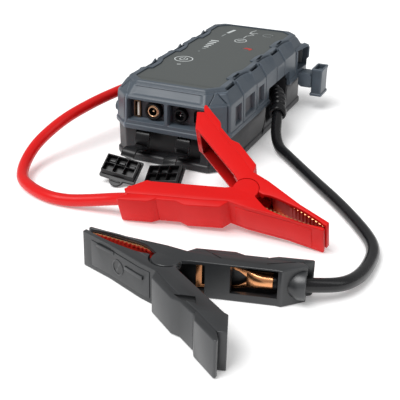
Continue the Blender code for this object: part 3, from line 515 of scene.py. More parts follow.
def wall_ring(row, stations=None, plain=False):
    """One level of the bumper, with its seams, windows, plates and rim steps worked into the outline."""
    z, half, front, back, nose, tail, seam, window, bump, plate, panel, lift = filled(row)
    stations = STATIONS if stations is None else stations
    a = Vector((0, -front))
    b = Vector((half - nose, -front))
    c = Vector((half, nose - front))
    d = Vector((half, back - tail))
    e = Vector((half - tail, back))
    f = Vector((0, back))
    points = []
    for i in range(18):
        t = i / 17.5
        x = (b.x - 1.7) * t
        inset = panel * soft(0.955 - t, 0.0, 0.03) * soft(abs(x + 2.0), 0.5, 1.1)
        points.append(Vector((x, -front + inset)))
    points += corner_points(a, b, c, 1.6)
    out = Vector((1, -1)).normalized()
    lean = min(1.0, max(0.0, (z - 59.2) / 8.2)) if not plain else 0.0
    shift = 0.12 + 0.31 * lean
    marks = (shift - 0.045, shift, shift + 0.045)
    spots = sorted(marks) + [0.5] + sorted(1.0 - m for m in marks)
    for k, t in enumerate(spots):
        deep = seam * 0.9 if k in (1, 5) else 0.0
        points.append(b.lerp(c, t) - out * deep)
    points += corner_points(b, c, d, 1.6)
    for y in stations:
        inset = seam * seam_factor(y) + window * window_factor(y) + bump * bump_factor(y)
        inset -= plate * raised_factor(y)
        points.append(Vector((half - inset, y)))
    points += corner_points(c, d, e, 1.2)
    points.append(d.lerp(e, 0.5))
    points += corner_points(d, e, f, 1.2)
    for i in range(10):
        points.append(Vector((e.x - 1.4, back)).lerp(f, i / 9.6))
    left = [Vector((-p.x, p.y)) for p in reversed(points)]
    if points[0].x < 1e-6:
        left = left[:-1]
    return [(p.x, p.y, z + lift * raised_factor(p.y)) for p in points + left]


def between(one, two, t):
    return tuple(p + (q - p) * t for p, q in zip(one, two))


def soften(rows, radius):
    """Rows of a profile with every inner corner turned into a short curve."""
    made = [rows[0]]
    for k in range(1, len(rows) - 1):
        before, here, after = rows[k - 1:k + 2]
        lengths = [max(1e-6, math.hypot(o[0] - here[0], o[1] - here[1])) for o in (before, after)]
        one, two = (min(0.45, radius / n) for n in lengths)
        start = between(here, before, one)
        stop = between(here, after, two)
        made += [start, between(between(start, here, 0.5), between(here, stop, 0.5), 0.5), stop]
    made.append(rows[-1])
    return made


def build_upper():
    """The bumper's shell, from rows of z and the eleven values that wall_ring reads."""
    w = HALF_WIDTH
    f = HALF_LENGTH
    b = BUMP_REACH
    rows = [
        (SKIRT_BOTTOM, 52.2, 111.7, 111.7, 15.8, 6.5),
        (SKIRT_BOTTOM, w + 1.0, f + 0.8, f + 0.6, 16.4, 6.5),
        (34.0, w + 1.0, f + 0.8, f + 0.6, 16.4, 6.5),
        (34.9, w, f, f - 0.2, 16, 6.5, 0.6),
        (37.3, w, f, f - 0.2, 16, 6.5, 1.2),
        (38.5, w, f, f - 0.2, 16, 6.5, 1.2, 3.0),
        (45.5, w - 0.25, f, f - 0.25, 16, 6.5, 1.2, 3.0),
        (52.5, w - 0.5, f, f - 0.3, 16, 6.5, 1.2, 3.0),
        (53.7, w - 0.5, f, f - 0.3, 16, 6.5, 1.2),
        (57.2, w - 0.7, f - 0.2, f - 0.4, 16, 6.5, 1.2),
        (58.4, w - 0.9, f - 0.4, f - 0.5, 16, 6.5, 1.2, 0, 0, 0.3),
        (59.4, w - 1.7, f - 1.4, f - 0.7, 15.7, 6.5, 1.2, 0, 0, 1.0),
        (60.2, 50.7, 110.4, 112.0, 15.5, 6.7, 1.2, 0, 0.1 * b, 1.2, 0, 0.1),
        (60.9, 50.2, 109.9, 111.9, 15.2, 6.8, 1.2, 0, 0.2 * b, 1.3, 0.8, 0.2),
        (63.6, 48.5, 107.8, 111.7, 14.3, 7.2, 1.2, 0, 0.5 * b, 1.5, 0.8, 0.5),
        (66.1, 46.9, 105.6, 111.5, 13.5, 7.6, 1.2, 0, 0.8 * b, 1.6, 0.8, 1.0),
        (66.7, 46.5, 105.1, 111.4, 13.2, 7.8, 1.2, 0, 0.9 * b, 1.4, 0, 1.5),
        (67.4, 45.9, 104.2, 111.4, 13.0, 8.0, 0.9, 0, b, 0.9, 0, 2.0),
        (67.6, 45.6, 104.0, 111.3, 12.9, 8.0, 0.6, 0, b, 0.2, 0, 2.0),
        (67.7, 45.1, 103.6, 111.1, 12.7, 8.0, 0.3, 0, b, -0.2, 0, -1.6),
        (69.6, 44.3, 102.7, 110.8, 12.4, 8.0, 0, 0, b, -0.3),
        (RIM_HEIGHT, 43.3, 101.7, 110.5, 12.0, 8.2, 0, 0, b),
        (RIM_HEIGHT, RIM_HALF_WIDTH, 99.3, 109.2, 10.0, 9.4, 0, 0, b),
        (66.8, RIM_HALF_WIDTH, 99.3, 109.2, 10.0, 9.4, 0, 0, b)]
    outer = soften([filled(row) for row in rows], 0.45)
    inner = [
        (66.6, 34.6, 96.0, 106.2, 7.5, 8.0, 0, 0, b),
        (64.8, 34.6, 96.0, 106.2, 7.5, 8.0, 0, 0, b),
        (64.2, 39.0, 97.0, 107.6, 8.0, 8.0),
        (57.0, 48.2, 98.0, 109.8, 9.5, 8.0),
        (37.2, 48.9, 98.0, 110.0, 9.5, 8.0),
        (36.8, 50.2, 110.2, 110.2, 15.2, 8.0),
        (SKIRT_BOTTOM, 50.4, 110.4, 110.4, 15.4, 8.0)]
    return stack("bumper", [wall_ring(row) for row in outer + inner], loop=True)


def mouth(name, outline, axis, stations):
    """A cutter along an axis; at every station its outline grows by the given amount."""
    centre = (sum(p[0] for p in outline) / len(outline), sum(p[1] for p in outline) / len(outline))
    reach = (max(abs(p[0] - centre[0]) for p in outline), max(abs(p[1] - centre[1]) for p in outline))
    rings = []
    for height, grow in stations:
        ring = []
        for a, b in outline:
            a = centre[0] + (a - centre[0]) * (1 + grow / reach[0])
            b = centre[1] + (b - centre[1]) * (1 + grow / reach[1])
            ring.append(oriented(axis, a, b, height))
        rings.append(ring)
    return stack(name, rings)


def rounded_box(xs, ys, radius, count=5):
    corners = [Vector((xs[0], ys[0])), Vector((xs[1], ys[0])), Vector((xs[1], ys[1])), Vector((xs[0], ys[1]))]
    points = []
    for k in range(4):
        points += corner_points(corners[k - 1], corners[k], corners[(k + 1) % 4], radius, count)
    return [(p.x, p.y) for p in points]


def build_slot(name, side, middle, half, start, stop, floor):
    """A cutter for a long narrow slot beside the rim, square at its stop and running out at its start."""
    rings = []
    for y, wide, low in ((start, 0.4 * half, 70.0), (start + 4.0, half, floor), (stop, half, floor)):
        rings.append([(side * x, y, z) for x, z in ((middle - wide, 74.0), (middle - wide, low),
                                                    (middle + wide, low), (middle + wide, 74.0))])
    return stack(name, rings)


def finish_upper():
    shell = build_upper()
    carve, join, tools = work_on(shell)
    for side in (1, -1):
        for label, middle, half, length, floor, stops in RIM_SLOTS:
            for k, stop in enumerate(stops):
                carve(build_slot(f"{label}_{side}_{k}", side, middle, half, stop - length, stop, floor))
    join(box("pocket_block", (23.3, 50.25), (82.65, 109.7), (37.3, 60.3)))
    join(box("pocket_corner", (47.1, 51.9), (104.3, 111.6), (36.9, 58.9)))
    rings = []
    for y, low_x, high_x in ((82.4, 52.9, 53.1), (85.0, 53.6, 53.6), (92.0, 54.9, 54.3), (104.0, 55.6, 56.2),
                             (107.5, 55.6, 57.4), (112.1, 55.2, 57.4)):
        section = ((50.9, 31.2), (low_x - 0.5, 31.2), (low_x, 32.2), (low_x, 44.6), (high_x, 47.0),
                   (high_x, 57.0), (high_x - 1.6, 59.8), (50.9, 60.9))
        rings.append([(x, y, z) for x, z in section])
    join(bake(bevel(stack("side_frame", rings), 0.5)))
    join(bake(bevel(prism("stud", circle(4.4, 40, (-90.0, 40.6)), -56.2, -51.6, 'x'), 0.6)))
    mouths = ((60.0, 1.2), (57.5, 0.9), (56.4, 0.0), (25.5, 0.0))
    carve(mouth("side_room", rounded_box((85, 110), (39.4, 58.4), 1.6), 'x', mouths))
    y = -HALF_LENGTH
    for name, span in (("left_recess", LEFT_RECESS), ("right_recess", RIGHT_RECESS)):
        edge = ((y - 8, 0.9), (y - 0.3, 0.9), (y + 1.0, 0.0), (y + RECESS_DEPTH, -0.4))
        carve(mouth(name, rounded_box(span, (RECESS_LOW, RECESS_HIGH), 1.3), 'y', edge))
    deep = ((y + 6.0, 0), (-94.0, 0))
    x, z = USB_SLOT
    carve(mouth("usb_hole", rounded_box((x - 3.1, x + 3.1), (z - 7.4, z + 7.4), 0.6), 'y', deep))
    x, z = MICRO_SLOT
    carve(mouth("micro_hole", rounded_box((x - 2.2, x + 2.2), (z - 4.8, z + 4.8), 0.9), 'y', deep))
    carve(mouth("outlet_hole", circle(8.0, 48, OUTLET), 'y', deep))
    carve(mouth("inlet_hole", circle(6.4, 48, INLET), 'y', deep))
    for side, name in ((1, "right_notch"), (-1, "left_notch")):
        xs = sorted((side * 47.0, side * 60.0))
        outline = rounded_box((0.0, 62.0), (20.0, 44.8), 2.4)
        carve(mouth(name, outline, 'x', [(v, 0.0) for v in xs]))
    carve(box("lamp_window", (-34.0, 19.0), (105.0, 120.0), (40.0, 56.0)))
    bake(shell, tools)
    done(shell, "pack", GREY, ("upper_housing",), 32.0)
    # Painted shade: faces on the port recess floor and the side window floors get the darker grey.
    shell.data.materials.append(GREY_PAINTED_SHADE)
    for face in shell.data.polygons:
        x, along, z = face.center / MM
        port_floor = 38 < z < 56.4 and -110.6 < along < -100 and abs(x) < 40 and abs(face.normal.y) > 0.3
        in_window = 38.6 < z < 53.4 and 49.2 < abs(x) < 50.4 and -87 < along < -12
        window_floor = in_window and abs(face.normal.x) > 0.9
        if port_floor or window_floor:
            face.material_index = 1
    return shell


finish_upper()


def tub_ring(z, half, front, back, nose, tail):
    stations = [-90.0 + 6.0 * i for i in range(31)]
    return wall_ring((z, half, front, back, nose, tail), stations, True)


def build_lower():
    rows = [(0.0, 48.6, 106.9, 106.6, 12.6, 5.6), (0.0, 50.6, 108.9, 108.6, 13.2, 6.0),
            (1.3, 52.3, 110.6, 110.3, 13.6, 6.4), (6.0, 52.3, 110.6, 110.3, 13.6, 6.4),
            (7.2, 51.0, 109.3, 108.9, 13.2, 6.0), (20.0, 51.2, 109.5, 109.2, 13.0, 6.6),
            (29.6, 51.4, 109.7, 109.4, 13.0, 7.0), (30.1, 49.6, 109.5, 109.4, 15.3, 7.2),
            (36.0, 49.7, 109.6, 109.6, 15.2, 7.2)]
    outer = soften(rows, 0.7)
    inner = [(36.0, 47.4, 107.2, 107.2, 14.2, 6.4), (3.0, 46.8, 106.4, 106.4, 14.0, 6.0)]
    tub = stack("tub", [tub_ring(*row) for row in outer + inner])
    carve, join, tools = work_on(tub)
    for side, name in ((1, "right"), (-1, "left")):
        xs = sorted((side * 35.6, side * 48.6))
        join(box(name + "_pocket_block", xs, (-2.0, 64.0), (1.6, 44.3)))
        outline = rounded_box((0.6, 61.4), (11.0, 42.6), 3.0)
        steps = [(side * 38.2, 0.0), (side * 50.0, 0.0), (side * 51.0, 0.7), (side * 60.0, 0.7)]
        carve(mouth(name + "_pocket", outline, 'x', steps if side > 0 else steps[::-1]))
        hole = circle(CABLE_RADIUS + 1.7, 36, (34.0, 31.6))
        carve(prism(name + "_hole", hole, *sorted((side * 30.0, side * 45.0)), 'x'))
        line = smooth([(-2.2, 32, 0), (-2.2, 24, 0), (-2.8, 16, 0), (-6, 9.5, 0), (-13, 5.4, 0)], 1.5)
        band = [(p.x, p.y) for p in line]
        band += [(p.x - 2.2 * other.x, p.y - 2.2 * other.y) for p, _, _, other in frames(line)][::-1]
        carve(prism(name + "_groove", band, *sorted((side * 50.1, side * 55.0)), 'x'))
    bay = rounded_box((-28.0, 31.0), (7.8, 31.0), 2.0)
    bay_steps = ((-125.0, 0.6), (-109.4, 0.6), (-108.4, 0.0), (-100.9, -0.5))
    carve(mouth("strap_bay", bay, 'y', bay_steps))
    tray = box("strap_bay_wall", (-31.2, 34.2), (-108.25, -98.3), (3.3, 33.2))
    tray_room = mouth("strap_bay_room", bay, 'y', bay_steps)
    done(bake(cut(tray, tray_room), [tray_room]), "pack", TUB)
    for i, (x, y) in enumerate(((-38.0, -84.0), (38.0, -84.0), (-38.0, 92.0), (38.0, 92.0))):
        join(prism(f"boss_{i}", circle(4.6, 28, (x, y)), 2.4, 15.0))
        carve(prism(f"boss_room_{i}", circle(3.6, 28, (x, y)), -2.0, 3.6))
        carve(prism(f"boss_bore_{i}", circle(1.8, 20, (x, y)), 3.0, 13.5))
    bake(tub, tools)
    done(tub, "pack", TUB, ("lower_housing",), 32.0)


build_lower()


# ---- panel, keys and prints
def build_panel():
    gap = 0.35
    row = (0, RIM_HALF_WIDTH - gap, 99.3 - gap, 109.2 - gap, 10.0 - 0.4 * gap, 9.4 - 0.4 * gap, 0, 0,
           BUMP_REACH)
    outline = []
    for x, y, _ in wall_ring(row, None, True):
        if not outline or math.hypot(x - outline[-1][0], y - outline[-1][1]) > 0.35:
            outline.append((x, y))
    panel = prism("panel", outline, 67.0, PANEL_TOP)
    tools = []
    for name, (x, y, r) in (("power", POWER_KEY), ("light", LIGHT_KEY), ("override", OVERRIDE_KEY)):
        hole = prism(name + "_hole", circle(r + 0.25, 72, (x, y)), 60.0, 72.0)
        tools.append(hole)
        cut(panel, hole)
        profile = [(0.0, 63.4), (2.2, 63.4), (2.2, 65.0), (r + 1.2, 65.0), (r + 1.2, 66.3), (r + 0.1, 66.3),
                   (r + 0.1, PANEL_TOP - 0.1), (r - 0.02, PANEL_TOP + 0.04), (r - 0.2, PANEL_TOP + 0.1),
                   (0.0, PANEL_TOP + 0.1)]
        key = lathe(name + "_button", profile, (x, y), 'z', 72)
        done(key, name, KEY, (name + "_key",), 35.0)
    bake(panel, tools)
    done(panel, "pack", PANEL, ("top_panel",), 32.0)


build_panel()


def flat(name, outline, low, high, mat, body):
    made = prism(name, outline, low, high)
    return done(made, body, mat, (), 30.0)


def ring_print(name, centre, outer, inner, low, mat, body, start=0.0, sweep=360.0, squeeze=1.0):
    count = 48
    whole = sweep >= 360.0
    rings = []
    for radius, z in ((inner, low - 0.2), (outer, low - 0.2), (outer, low + 0.1), (inner, low + 0.1)):
        rings.append([(centre[0] + x, centre[1] + y * squeeze, z)
                      for x, y in circle(radius, count, (0, 0), start, sweep, whole)])
    points = [p for ring in rings for p in ring]
    faces = []
    for k in range(4):
        a = k * count
        b = ((k + 1) % 4) * count
        for i in range(count if whole else count - 1):
            j = (i + 1) % count
            faces.append((a + i, a + j, b + j, b + i))
    if not whole:
        faces += [(0, count, 2 * count, 3 * count), (count - 1, 2 * count - 1, 3 * count - 1, 4 * count - 1)]
    return done(raw(name, points, faces), body, mat, (), 30.0)


def bar_outline(a, b, width):
    """The corners of a straight bar from one point to another."""
    one, two = Vector(a), Vector(b)
    ahead = (two - one).normalized()
    side = Vector((-ahead.y, ahead.x)) * width / 2
    return [tuple(one - side), tuple(two - side), tuple(two + side), tuple(one + side)]


def bar_print(name, a, b, width, low, mat, body="pack"):
    return flat(name, bar_outline(a, b, width), low - 0.2, low + 0.1, mat, body)


def build_prints():
    top = PANEL_TOP
    key_top = PANEL_TOP + 0.1
    ring_print("power_ring", (-22.4, -24.4), 8.7, 7.7, top + 0.02, PRINT, "pack")
    ring_print("power_arc", (-22.4, -24.6), 4.0, 3.1, key_top, PRINT, "power", 118.0, 304.0)
    bar_print("power_stroke", (-22.4, -24.2), (-22.4, -19.8), 0.9, key_top, PRINT, "power")
    bar_print("power_dash", (-21.2, -42.2), (-18.1, -40.9), 1.5, top, PRINT)
    flat("charge_dot", circle(1.1, 24, (-20.2, 5.8)), top - 0.2, top + 0.1, PRINT_DIM, "pack")
    for i in range(6):
        y = 16.4 + i * 6.0
        reach = 1.5 + i * 0.62
        bar_print(f"charge_bar_{i + 1}", (-20.0 - reach, y), (-18.2 + reach * 0.35, y + 0.4), 2.6, top,
                  PRINT if i > 0 else PRINT_DIM)
    bar_print("small_bar", (-20.7, 65.0), (-20.2, 75.0), 1.6, top, PRINT_DIM)
    bar_print("long_bar", (-20.0, 79.5), (-17.6, 94.0), 3.0, top, PRINT)
    ring_print("lamp_ring", (2.0, 58.0), 6.0, 5.2, top, PRINT, "pack", squeeze=1.15)
    strokes = (((-1.6, 58.0), (5.4, 58.6)), ((0.2, 54.6), (4.2, 55.0)), ((0.4, 61.4), (4.4, 61.8)))
    for i, (a, b) in enumerate(strokes):
        bar_print(f"lamp_stroke_{i + 1}", a, b, 1.1, top, PRINT_DIM if i else PRINT)
    guide = ((1.1, 68.0), (1.1, 77.4), (6.6, 84.4), (0.4, 88.4), (0.4, 95.9), (2.8, 102.4))
    for i, (a, b) in enumerate(zip(guide, guide[1:])):
        bar_print(f"guide_line_{i + 1}", a, b, 0.8, top, PRINT)
    bar_print("guide_branch", (0.4, 88.4), (8.0, 91.6), 0.8, top, PRINT)
    key = [(13.8, 33.0), (16.0, 36.4), (22.6, 35.2), (22.8, 31.8), (21.4, 28.6), (19.4, 32.2)]
    flat("light_mark", key, key_top - 0.2, key_top + 0.1, PRINT_RED, "light")
    ring_print("override_ring", (20.0, 88.0), 5.4, 4.7, key_top, PRINT_DIM, "override", 20.0, 300.0)


build_prints()


# ---- ports
def port_shell(label, outline, opening, ends, floor, mat, node):
    """A metal shell round a slot, hollow from in front of the face down to its floor."""
    shell = prism(label + "_shell", outline, *ends, 'y')
    room = prism(label + "_room", opening, PORT_FACE - 5, floor, 'y')
    done(bake(cut(shell, room), [room]), "pack", mat, (node,))


def build_ports():
    face = PORT_FACE
    x, z = USB_SLOT
    outline = rounded_box((x - 2.8, x + 2.8), (z - 7.1, z + 7.1), 0.5)
    opening = rounded_box((x - 2.3, x + 2.3), (z - 6.6, z + 6.6), 0.4)
    port_shell("usb", outline, opening, (face + 2.6, -90.0), face + 15.0, BRASS, "usb_out_port")
    outline = rounded_box((x + 0.15, x + 1.9), (z - 5.9, z + 5.9), 0.3)
    tongue = prism("usb_tongue", outline, face + 2.7, face + 14.8, 'y')
    done(bevel(tongue, 0.2, 2), "pack", WHITE, ("usb_out_tongue",))
    profile = [(0.0, face + 16.5), (7.6, face + 16.5), (7.6, face + 0.9), (7.3, face + 0.2), (6.9, face),
               (6.0, face), (5.6, face + 0.3), (5.4, face + 0.8), (5.4, face + 12.4), (0.0, face + 12.4)]
    done(lathe("outlet_body", profile, OUTLET, 'y', 64), "pack", PORT, ("dc_out_jack",))
    profile = [(0.0, face + 1.6), (0.7, face + 1.8), (0.95, face + 2.3), (0.95, face + 10.8),
               (3.7, face + 10.8), (3.7, face + 0.5), (3.9, face + 0.3), (4.35, face + 0.3),
               (4.55, face + 0.5), (4.6, face + 1.2), (5.1, face + 1.4), (5.1, face + 12.0),
               (0.0, face + 12.0)]
    contact = done(lathe("outlet_contact", profile, OUTLET, 'y', 64), "pack", GOLD,
                   ("dc_out_contact",))
    contact.data.materials.append(PORT)
    for part in contact.data.polygons:
        x, y, z = part.center / MM
        if y > face + 1.6 and math.hypot(x - OUTLET[0], z - OUTLET[1]) > 0.97:
            part.material_index = 1
    profile = [(0.0, face + 16.5), (6.0, face + 16.5), (6.0, face + 0.8), (5.7, face + 0.2), (5.3, face),
               (4.2, face), (3.8, face + 0.3), (3.6, face + 0.9), (3.6, face + 10.0), (0.0, face + 10.0)]
    done(lathe("inlet_body", profile, INLET, 'y', 64), "pack", PORT, ("dc_in_jack",))
    profile = [(0.0, face + 2.2), (0.5, face + 2.3), (0.8, face + 2.7), (0.8, face + 8.6), (3.2, face + 8.6),
               (3.2, face + 9.7), (0.0, face + 9.7)]
    done(lathe("inlet_contact", profile, INLET, 'y', 48), "pack", STEEL, ("dc_in_contact",))
    x, z = MICRO_SLOT
    outline = [(x - 1.9, z - 4.5), (x + 0.7, z - 4.5), (x + 1.9, z - 3.3), (x + 1.9, z + 3.3),
               (x + 0.7, z + 4.5), (x - 1.9, z + 4.5)]
    opening = [(x - 1.5, z - 4.1), (x + 0.55, z - 4.1), (x + 1.5, z - 3.15), (x + 1.5, z + 3.15),
               (x + 0.55, z + 4.1), (x - 1.5, z + 4.1)]
    port_shell("micro", outline, opening, (face + 2.4, -94.5), face + 9.0, PORT, "micro_usb_port")
    tongue = box("micro_tongue", (x - 0.9, x - 0.3), (face + 3.4, face + 9.2), (z - 2.6, z + 2.6))
    done(bevel(tongue, 0.1, 2), "pack", PORT)
    contact = prism("rear_contact", rounded_box((46.2, 50.6), (40.6, 57.2), 0.8), 109.2, 109.9, 'y')
    done(bevel(contact, 0.15, 2), "pack", ALUMINIUM, ("side_port_contact",))
    lens = prism("lens", rounded_box((-33.6, 18.6), (40.4, 55.6), 1.6), 108.4, 112.2, 'y')
    done(bake(bevel(lens, 0.5)), "pack", LENS, ("lamp_lens",))
    for i, u in enumerate((-24.0, -7.5, 9.0)):
        cup = [(0.0, 105.6), (1.6, 105.6), (3.2, 106.2), (4.6, 107.1), (5.5, 108.1), (6.0, 108.2),
               (6.0, 105.1), (0.0, 105.1)]
        done(lathe(f"lamp_cup_{i + 1}", cup, (u, 48.0), 'y', 40), "pack", STEEL)
        chip = box(f"lamp_chip_{i + 1}", (u - 1.1, u + 1.1), (105.5, 106.2), (46.9, 49.1))
        done(bevel(chip, 0.15, 2), "pack", WHITE)


build_ports()


# ---- covers and straps
COVER_Y = -114.0
COVER_Z = 47.2
COVER_HALF = 16.0
COVERS = (("left", -18.0, ((3.87, -125.92, 18.4), (0.99872, 0.02424, -0.04428), 128.5)),
          ("right", 19.4, ((-10.57, -122.72, 15.77), (0.9929, -0.07348, 0.09359), 124.5)))


def hinge_matrix(point, direction, angle):
    turn = Matrix.Rotation(math.radians(angle), 4, Vector(direction).normalized())
    return Matrix.Translation(point) @ turn @ Matrix.Translation(-Vector(point))


def build_cover(side, centre_x, hinge):
    name = "cover_" + side
    front = COVER_Y - 1.7
    back = COVER_Y + 0.5
    half = COVER_HALF
    low = COVER_Z - 10.6
    high = COVER_Z + 10.6
    tab = circle(6.2, 25, (centre_x, high - 0.6), 0.0, 180.0, closed=False)
    outline = rounded_box((centre_x - half, centre_x + half), (low, high), 1.6, 5)
    top = [p for p in outline if p[1] > high - 1.7]
    rest = [p for p in outline if p[1] <= high - 1.7]
    right_top = [p for p in top if p[0] > centre_x]
    left_top = [p for p in top if p[0] < centre_x]
    start = [p for p in rest if p[0] < centre_x and p[1] < COVER_Z]
    other = [p for p in rest if p[0] > centre_x and p[1] < COVER_Z]
    outline = start + other + right_top + [p for p in tab if p[1] > high] + left_top
    cover = bake(bevel(prism(name, outline, front, back, 'y'), 0.45))
    side_view = [(back - 0.8, COVER_Z - 8.6), (back + 4.2, COVER_Z - 8.6), (back + 4.2, COVER_Z + 6.9),
                 (back - 0.8, COVER_Z + 8.7)]
    plug = prism(name + "_plug", side_view, centre_x - half + 1.4, centre_x + half - 1.4, 'x')
    carve, join, tools = work_on(cover)
    join(bake(bevel(plug, 0.35)))
    for i in range(3):
        for j in range(2):
            x0 = centre_x - half + 2.5 + i * 9.1
            z0 = COVER_Z - 7.6 + j * 7.1
            outline = rounded_box((x0, x0 + 8.5), (z0, z0 + 6.6), 0.5)
            steps = ((back - 0.2, -0.3), (back + 3.8, 0.0), (back + 4.4, 0.3), (back + 8.0, 0.3))
            carve(mouth(f"{name}_cell_{i}{j}", outline, 'y', steps))
    for i in range(3):
        x0 = centre_x - half + 4.0 + i * 9.1
        stud = box(f"{name}_stud_{i}", (x0, x0 + 5.2), (back - 0.4, back + 1.0 + 0.7 * (i % 2)),
                   (COVER_Z - 5.9 + 0.6 * i, COVER_Z - 3.6 + 0.6 * i))
        join(bake(bevel(stud, 0.3)))
    grip = box(name + "_grip", (centre_x - 4.2, centre_x + 4.2), (back - 0.5, back + 0.7),
               (high + 1.0, high + 2.2))
    join(bake(bevel(grip, 0.4)))
    bake(cover, tools)
    swing = hinge_matrix(*hinge)
    place(cover, swing)
    done(cover, side + "_cover", RUBBER, ("port_cover_" + side,), 32.0)
    return swing @ Vector((centre_x, front + 1.1, low)), swing.to_3x3()


def flex(strap, mat, node):
    """Finish a strap that bends from its low point on the pack to its high point on the cover."""
    strap.data.materials.append(mat)
    strap.data.shade_smooth()
    strap.data.set_sharp_from_angle(angle=math.radians(40.0))
    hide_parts(node)
    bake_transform(strap)


def build_strap(side, centre_x, drift, end, turn):
    """A rubber strap that rolls out from under the bumper and lies down to the open cover."""
    away = turn @ Vector((0, 0, -1))
    side_end = turn @ Vector((1, 0, 0))
    stop = end + away * 1.6
    guides = [Vector((centre_x, -102.2, 26.0)), Vector((centre_x, -105.5, 28.6)),
              Vector((centre_x, -110.6, 27.2)), Vector((centre_x, -112.9, 21.5)),
              Vector((centre_x + drift * 0.2, -113.4, 14.5)), stop + away * 7.0 + Vector((0, 0, 0.6)),
              stop - away * 0.4]
    path = smooth(guides, 0.9)
    rings = []
    for i, (point, tangent, _, _) in enumerate(frames(path)):
        t = i / (len(path) - 1)
        across = Vector((1, 0, 0)).lerp(side_end, t)
        across = (across - tangent * across.dot(tangent)).normalized()
        thin = tangent.cross(across).normalized()
        wide = 6.2 + 0.5 * math.exp(-((t - 0.24) / 0.1) ** 2)
        thick = 0.95 + 0.55 * math.exp(-((t - 0.30) / 0.035) ** 2)
        thick += 0.45 * math.exp(-((t - 0.62) / 0.03) ** 2)
        thick += 0.35 * soft(t, 0.9, 1.0)
        ring = []
        for a, b in rounded_box((-wide, wide), (-thick, thick), 0.7, 4):
            ring.append(point + across * a + thin * b)
        rings.append(ring)
    strap = stack("strap_" + side, rings)
    flex(strap, RUBBER, "cover_strap_" + side)


for label, middle, line in COVERS:
    edge_point, turned = build_cover(label, middle, line)
    build_strap(label, middle - 3.0, -6.0, edge_point, turned)


def build_cap():
    """The hollow side cap, shown swung out and down."""
    cx, cy, cz = 42.0, 97.0, 45.8
    lx, ly, lz = 27.0, 21.6, 10.4
    x0 = cx - lx / 2
    x1 = cx + lx / 2
    steps = ((x1 + 0.6, 0.5), (x1 + 0.5, 0.8), (x1 + 0.2, 0.9), (x1 - 1.4, 0.9), (x1 - 1.8, 0.7),
             (x1 - 2.2, 0.0), (x0 + 12.0, -0.15), (x0 + 3.0, 0.0), (x0 + 2.3, 0.35), (x0 + 1.8, 0.5),
             (x0 + 0.3, 0.5), (x0, 0.35), (x0 - 0.2, 0.0), (x0 - 0.2, -1.2), (x0 + 0.3, -1.6),
             (x0 + 5.0, -1.7), (x1 - 2.6, -2.0))
    rings = []
    for x, grow in steps:
        ys = (cy - ly / 2 - grow, cy + ly / 2 + grow)
        zs = (cz - lz / 2 - grow, cz + lz / 2 + grow)
        rings.append([(x, a, b) for a, b in rounded_box(ys, zs, 1.5, 6)])
    cap = stack("cap", rings)
    carve, join, tools = work_on(cap)
    under = cz - lz / 2
    for i, y in enumerate((cy - 6.6, cy + 6.6)):
        rib = box(f"cap_rib_{i}", (x0 + 4.0, x1 - 3.4), (y - 1.3, y + 1.3), (under - 0.55, cz))
        join(bake(bevel(rib, 0.3)))
    notch = box("cap_notch", (x1 - 1.2, x1 + 3.0), (cy - 3.4, cy + 3.4), (under - 4, under + 0.2))
    carve(bake(bevel(notch, 0.3)))
    bake(cap, tools)
    place(cap, hinge_matrix((49.5, 0, 21.5), (0, 1, 0), 90.0))
    done(cap, "side_cover", GREY, ("side_port_cover",), 36.0)


def build_cap_strap():
    """The cap's stubby tether, hollow from its far end."""
    outer = [(54.2, 35.0), (56.4, 36.5), (60.0, 36.6), (62.6, 36.5), (65.2, 36.0), (67.0, 34.4),
             (68.05, 32.2), (68.1, 28.0), (68.1, 24.6), (67.9, 22.2), (67.0, 22.0), (57.6, 22.0),
             (54.2, 24.0)]
    rings = []
    for y, shrink in ((88.0, 0.05), (88.15, 0.015), (88.6, 0.0), (96.0, 0.0), (103.4, 0.0), (103.85, 0.015),
                      (104.0, 0.05)):
        rings.append([(x + (62.0 - x) * shrink, y, z + (29.0 - z) * shrink) for x, z in outer])
    strap = stack("cap_strap", rings)
    under = [(58.3, 18.0), (58.3, 29.0), (58.8, 32.2), (60.4, 33.5), (62.6, 33.7), (64.6, 33.0),
             (65.8, 30.8), (65.9, 18.0)]
    tool = prism("cap_strap_room", under, 89.9, 110.0, 'y')
    bake(cut(strap, tool), [tool])
    flex(strap, GREY, "side_cover_strap")


build_cap()
build_cap_strap()


# ---- cable boots
def build_boot(name, node, route):
    centre = smooth(route[1:5], 2.8)[1:-2]
    path = smooth([tuple(p) for p in centre], 0.45)
    outer = []
    length = len(path) - 1
    for i in range(len(path)):
        t = i / length
        taper = 1.0 - 0.15 * t
        rib = 0.5 - 0.5 * math.cos(2 * math.pi * 6.5 * t)
        radius = 7.6 * taper - 1.0 + 1.0 * min(1.0, 1.5 * rib)
        if t < 0.09:
            radius = 8.0
        if t > 0.88:
            radius = 8.0 - 0.5 * soft(t, 0.96, 1.0)
        outer.append(radius)
    rings = tube_rings(path, outer, 40) + tube_rings(path, [5.7] * len(path), 40)[::-1]
    boot = stack(name, rings, loop=True)
    done(boot, "pack", RUBBER, (node,), 45.0)


build_boot("red_boot", "red_cable_boot", RED_ROUTE)
build_boot("black_boot", "black_cable_boot", BLACK_ROUTE)

